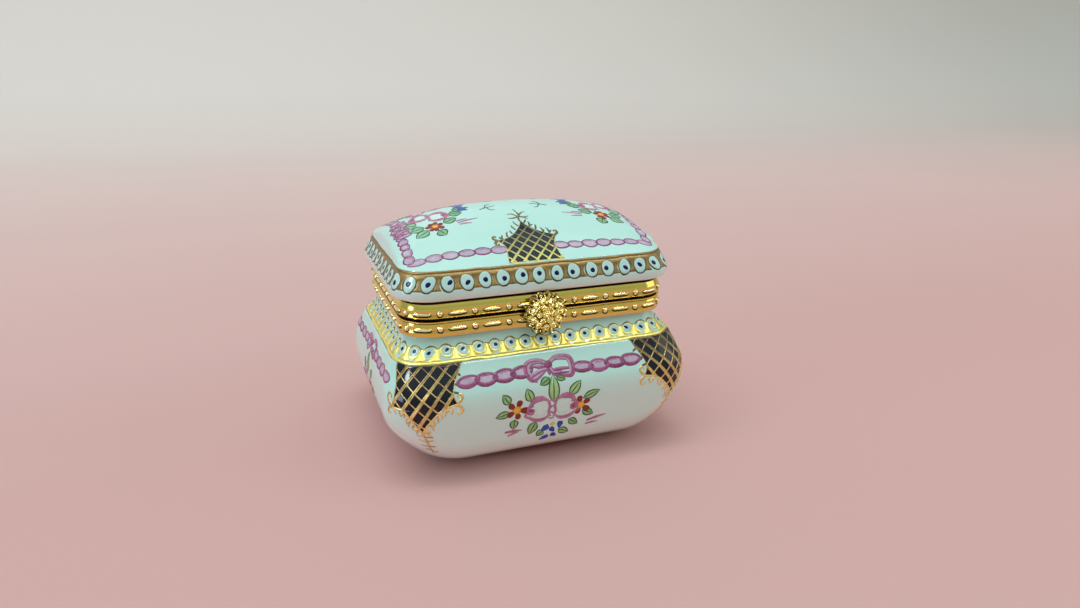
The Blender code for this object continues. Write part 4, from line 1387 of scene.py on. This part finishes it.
def face_bouquet(on):
    """The bunch under the bow: a tall leaf, two roses, two daisies, blue marks and sprigs."""
    leaf(on, (-0.35, -9.8), (-0.2, -4.3), 1.75, 0.75, True)
    for row in FACE_LEAVES:
        leaf(on, *row)
    rose(on, (-3.1, -10.9), -1, 1.12)
    rose(on, (1.9, -11.0), 1, 1.15)
    for x, y, wide in ((-0.7, -9.9, 1.5), (-0.5, -11.3, 1.3), (-0.8, -12.6, 1.5)):
        on.oval("rose_white", (x, y), wide, 1.3, 20, 0, 0.6, 1.0)
        over = [(x - wide * 0.5, y + 0.2), (x, y + 0.75), (x + wide * 0.5, y - 0.1)]
        under = [(x - wide * 0.4, y - 0.3), (x, y - 0.7), (x + wide * 0.45, y - 0.5)]
        on.stroke("pink", over, [0.3, 0.5, 0.3], 1, 0.7)
        on.stroke("pink", under, [0.2, 0.4, 0.2], 1, 0.5)
    daisy(on, (-7.75, -10.3), 1.18, 68)
    daisy(on, (5.3, -11.3), 1.08, 35)
    dashes(on, "blue", FACE_BLUES, 0.2, 0.7)
    on.oval("yellow", (-0.35, -14.65), 1.0, 0.8, 0, 2, 0.3, 0.9, 0.05)
    dashes(on, "pink", FACE_PINKS, 0.3, 0.7)


def side_bouquet(on):
    """A smaller bunch for the short sides."""
    leaf(on, (-0.1, -9.4), (0.1, -4.6), 1.5, 0.75, True)
    for row in SIDE_LEAVES:
        leaf(on, *row)
    rose(on, (-1.6, -11.4), -1, 0.9)
    daisy(on, (2.6, -11.6), 0.95, 50)
    dashes(on, "blue", SIDE_BLUES, 0.2, 0.7)
    on.oval("yellow", (0.1, -14.0), 0.9, 0.8, 0, 2, 0.3, 0.9)
    dash(on, "pink", (-7.0, -14.6), (-4.6, -14.8), 0.45, 0.5)
    dash(on, "pink", (5.0, -14.6), (7.6, -14.2), 0.45, 0.5)


def paint_bowl_faces(on):
    """Chain, bow and bunch on the long faces, and a smaller set on the short ones."""
    for anchor in (0, 4):
        on.chart = bowl_chart(anchor)
        chain(on, (-18.2, -3.3), (-4.4, -2.9), 3.3, 3.9, 2.05, 0.68, -0.2)
        chain(on, (4.4, -3.6), (18.2, -3.4), 3.3, 3.9, 2.0, 0.68, -0.2)
        bow(on, (-0.75, -2.5))
        face_bouquet(on)
    for anchor in (2, 6):
        on.chart = bowl_chart(anchor)
        chain(on, (-18.3, -3.2), (-4.0, -3.0), 3.4, 4.0, 2.2, 0.5, -0.3)
        chain(on, (4.0, -3.0), (18.3, -3.2), 3.4, 4.0, 2.2, 0.5, -0.3)
        bow(on, (0.0, -2.6), 0.9)
        side_bouquet(on)


def paint_lid_top(on):
    """The chain frame and the two bunches on the dome, the same from front and back."""
    for turn in (1, -1):
        on.chart = dome_chart(turn)
        chain(on, (3.2, -16.3), (24.2, -16.35), 3.1, 3.4, 1.9, 0.26)
        chain(on, (-24.8, -16.3), (-6.2, -16.2), 3.1, 3.4, 1.95, 0.26)
        chain(on, (-24.2, 0.0), (-24.3, -15.9), 2.1, 2.7, 1.9, 0.26)
        chain(on, (23.8, -15.9), (23.8, 0.0), 2.3, 2.9, 1.8, 0.26)
        for x, side in ((-17.4, 1), (17.2, -1)):
            lid_bunch(on, x, side)
        for x, side in ((-6.2, 1), (5.0, -1)):
            strokes(on, beside(x, side), LID_TWIG)
        for k in range(7):
            centre = (-23.7 + draw.uniform(-0.3, 0.3), -0.6 - 1.05 * k)
            link(on, centre, draw.uniform(-14, 14), draw.uniform(2.6, 3.2), 1.3, 0.24)


# Points on the lid are at (distance towards the middle of the lid, up) from a bunch's or a twig's own x.
LID_TWIG = (
    ("leaf_dark", [(-1.5, -3.6), (0, -3.1), (1.9, -2.6)], [0.3, 0.25, 0.1], 1, 0.5),
    ("leaf_dark", [(0, -3.1), (0.6, -4.2), (1.5, -4.4)], [0.25, 0.3, 0.1], 1, 0.6),
    ("leaf_dark", [(-0.4, -3.2), (0.2, -1.9), (1.1, -1.7)], [0.25, 0.3, 0.1], 1, 0.4),
)
LID_LEAVES = (
    ((-1.6, -7.9), (-4.4, -9.4), 1.5, 0.7), ((0.2, -8.6), (1.2, -10.4), 1.5, 0.4),
    ((1.6, -6.4), (4.4, -5.4), 1.3, 0.5), ((-3.4, -5.0), (-5.6, -3.6), 1.6, 0.8),
    ((-2.2, -6.6), (-5.0, -6.6), 1.4, 0.8), ((3.2, -3.6), (6.0, -3.6), 1.4, 0.4),
    ((4.4, -1.6), (7.2, -2.4), 1.3, 0.4),
)
LID_BLUES = [(5.4, -2.2), (7.4, -2.9)], [(5.6, -1.4), (7.8, -1.8)], [(5.0, -0.7), (7.0, -0.6)]
LID_PINKS = [(4.2, -7.2), (8.4, -6.6)], [(4.4, -7.8), (6.9, -7.9)], [(4.0, -6.6), (6.2, -6.3)]


def beside(x, side):
    return lambda points: [(x + dx * side, y) for dx, y in points]


def lid_bunch(on, x, side):
    """One bunch on the dome, its sprigs pointing to the middle of the lid."""
    at = beside(x, side)
    for base, tip, wide, fill in LID_LEAVES:
        leaf(on, *at([base, tip]), wide * 1.25, fill, kind="pale_leaf")
    first, second, flower = at([(1.0, -3.2), (-2.2, -1.9), (-0.2, -7.0)])
    rose(on, first, side, 0.92, 0.85)
    rose(on, second, -side, 0.85, 0.8)
    daisy(on, flower, 0.95, 20, 7, 0.95)
    dashes(on, "blue", [(*at(ends), 1.15) for ends in LID_BLUES], 0.5, 0.9)
    dashes(on, "pink", [(*at(ends), 0.5) for ends in LID_PINKS], 0.4, 0.8)


for body, jobs in (
    ("base", (paint_base_band, paint_corner_patches, paint_bowl_faces)),
    ("lid", (paint_lid_band, paint_lid_patches, paint_lid_top)),
):
    palette = Palette(body)
    for job in jobs:
        job(palette)
    palette.make()


# ---- Stage, light and camera, in metres ----

def make_stage():
    """A plain floor that sweeps up into the backdrop."""
    half_width = 1.6
    front, bend, radius, top = -1.0, 0.55, 0.45, 2.2
    profile = [(front, 0.0), (bend, 0.0)]
    for a in np.linspace(0, PI / 2, 40)[1:]:
        profile.append((bend + radius * math.sin(a), radius * (1 - math.cos(a))))
    profile.append((bend + radius, top))
    columns = np.linspace(-half_width, half_width, 9)
    points = [(x, y, z) for y, z in profile for x in columns]
    wide = len(columns)
    faces = [
        (k * wide + i, k * wide + i + 1, (k + 1) * wide + i + 1, (k + 1) * wide + i)
        for k in range(len(profile) - 1)
        for i in range(wide - 1)
    ]
    mesh = bpy.data.meshes.new("sweep")
    mesh.from_pydata(points, [], faces)
    mesh.shade_smooth()
    n = Nodes("sweep_paper")
    parts = n.add("ShaderNodeSeparateXYZ", Vector=n.place)
    far = n.ramp(parts.outputs["Y"], 0.0, 1.0, 0.0, 0.75)
    pink = n.ramp(n.add("ShaderNodeTexNoise", Scale=3.0, Detail=2.0, Vector=n.place).outputs["Fac"],
                  (0.62, 0.35, 0.345), (0.65, 0.37, 0.365), 0.3, 0.7)
    colour = n.mix(far, pink, (0.68, 0.60, 0.59))
    # Painted shade and bounce light: the paper is a deeper, darker red close to the foot.
    reach = n.add("ShaderNodeVectorMath", Vector=n.place)
    reach.operation = "MULTIPLY"
    reach.inputs[1].default_value = (1 / ((HALF_X - 2) * MM), 1 / ((HALF_Y - 2) * MM), 1.0)
    way = n.add("ShaderNodeVectorMath", Vector=reach.outputs[0])
    way.operation = "LENGTH"
    near = n.ramp(way.outputs["Value"], 1.0, 0.0, 0.85, 1.08)
    colour = n.mix(near, colour, (0.50, 0.08, 0.09))
    grain = n.add("ShaderNodeTexNoise", Scale=900.0, Detail=3.0, Vector=n.place).outputs["Fac"]
    n.bump(grain, 0.04, 0.2)
    mesh.materials.append(n.finish(Base_Color=colour, Roughness=0.75, Specular_IOR_Level=0.2))
    sweep = bpy.data.objects.new("sweep", mesh)
    bpy.context.scene.collection.objects.link(sweep)


def add_light(name, place, target, width, height, power, colour, gleam=False):
    """One soft lamp; with gleam it shows in reflections only."""
    data = bpy.data.lights.new(name, "AREA")
    data.shape = "RECTANGLE"
    data.size = width
    data.size_y = height
    data.energy = power
    data.color = colour
    lamp = bpy.data.objects.new(name, data)
    lamp.location = place
    lamp.rotation_euler = (Vector(target) - Vector(place)).to_track_quat("-Z", "Y").to_euler()
    lamp.visible_diffuse = not gleam
    bpy.context.scene.collection.objects.link(lamp)


def make_world():
    """Soft room light: bright overhead, dim and greenish near the horizon."""
    world = bpy.data.worlds.new("room")
    world.use_nodes = True
    tree = world.node_tree
    place = tree.nodes.new("ShaderNodeTexCoord")
    parts = tree.nodes.new("ShaderNodeSeparateXYZ")
    ramp = tree.nodes.new("ShaderNodeValToRGB")
    steps = ramp.color_ramp.elements
    steps[0].position = 0.0
    steps[0].color = (0.33, 0.38, 0.29, 1)
    steps[1].position = 0.9
    steps[1].color = (0.78, 1.0, 0.97, 1)
    middle = steps.new(0.42)
    middle.color = (0.40, 0.48, 0.40, 1)
    tree.links.new(place.outputs["Generated"], parts.inputs[0])
    tree.links.new(parts.outputs["Z"], ramp.inputs[0])
    tree.links.new(ramp.outputs[0], tree.nodes["Background"].inputs["Color"])
    tree.nodes["Background"].inputs["Strength"].default_value = 1.0
    bpy.context.scene.world = world


AIM = (0, 0, 0.03)
LAMPS = (
    ("key", (0.0, 0.2, 0.85), AIM, 1.5, 1.3, 1.5, (0.78, 1.0, 0.98)),
    ("high_window", (-0.57, -0.1, 0.59), AIM, 0.15, 0.2, 2.4, (0.85, 0.97, 1.0), True),
    ("low_window", (-0.77, -0.12, 0.14), AIM, 0.2, 0.26, 1.1, (0.66, 0.86, 1.0)),
    ("strip", (0.27, -0.34, 0.7), AIM, 0.5, 0.05, 1.2, (1.0, 0.98, 0.94), True),
    ("fill", (0.72, -0.25, 0.3), AIM, 0.5, 0.5, 0.9, (1.0, 0.92, 0.89)),
    ("backdrop", (-0.3, 0.1, 1.3), (-0.1, 0.95, 0.5), 1.3, 0.5, 7.5, (1.0, 0.99, 1.0)),
)

make_stage()
make_world()
for lamp in LAMPS:
    add_light(*lamp)


def place_camera():
    """Three-quarter view from the front left, looking a little down, as solved from the photo."""
    heading, fall, roll = math.radians(20.99), math.radians(17.74), 0.0043
    back, across, below = 159.84, 6.2, 4.77
    level = math.cos(fall)
    ahead = Vector((math.sin(heading) * level, math.cos(heading) * level, -math.sin(fall)))
    right = Vector((math.cos(heading), -math.sin(heading), 0.0))
    up = right.cross(ahead)
    c, s = math.cos(roll), math.sin(roll)
    right, up = c * right + s * up, c * up - s * right
    place = Vector((0.0, 0.0, SEAM)) - back * ahead + across * right - below * up
    data = bpy.data.cameras.new("camera")
    data.lens = 24.95
    data.sensor_width = 36.0
    data.clip_start = 0.005
    data.clip_end = 20.0
    camera = bpy.data.objects.new("camera", data)
    turn = Matrix((right, up, -ahead)).transposed()
    camera.matrix_world = Matrix.Translation(place * MM) @ turn.to_4x4()
    bpy.context.scene.collection.objects.link(camera)
    bpy.context.scene.camera = camera


place_camera()
bpy.context.scene.view_settings.view_transform = "Standard"
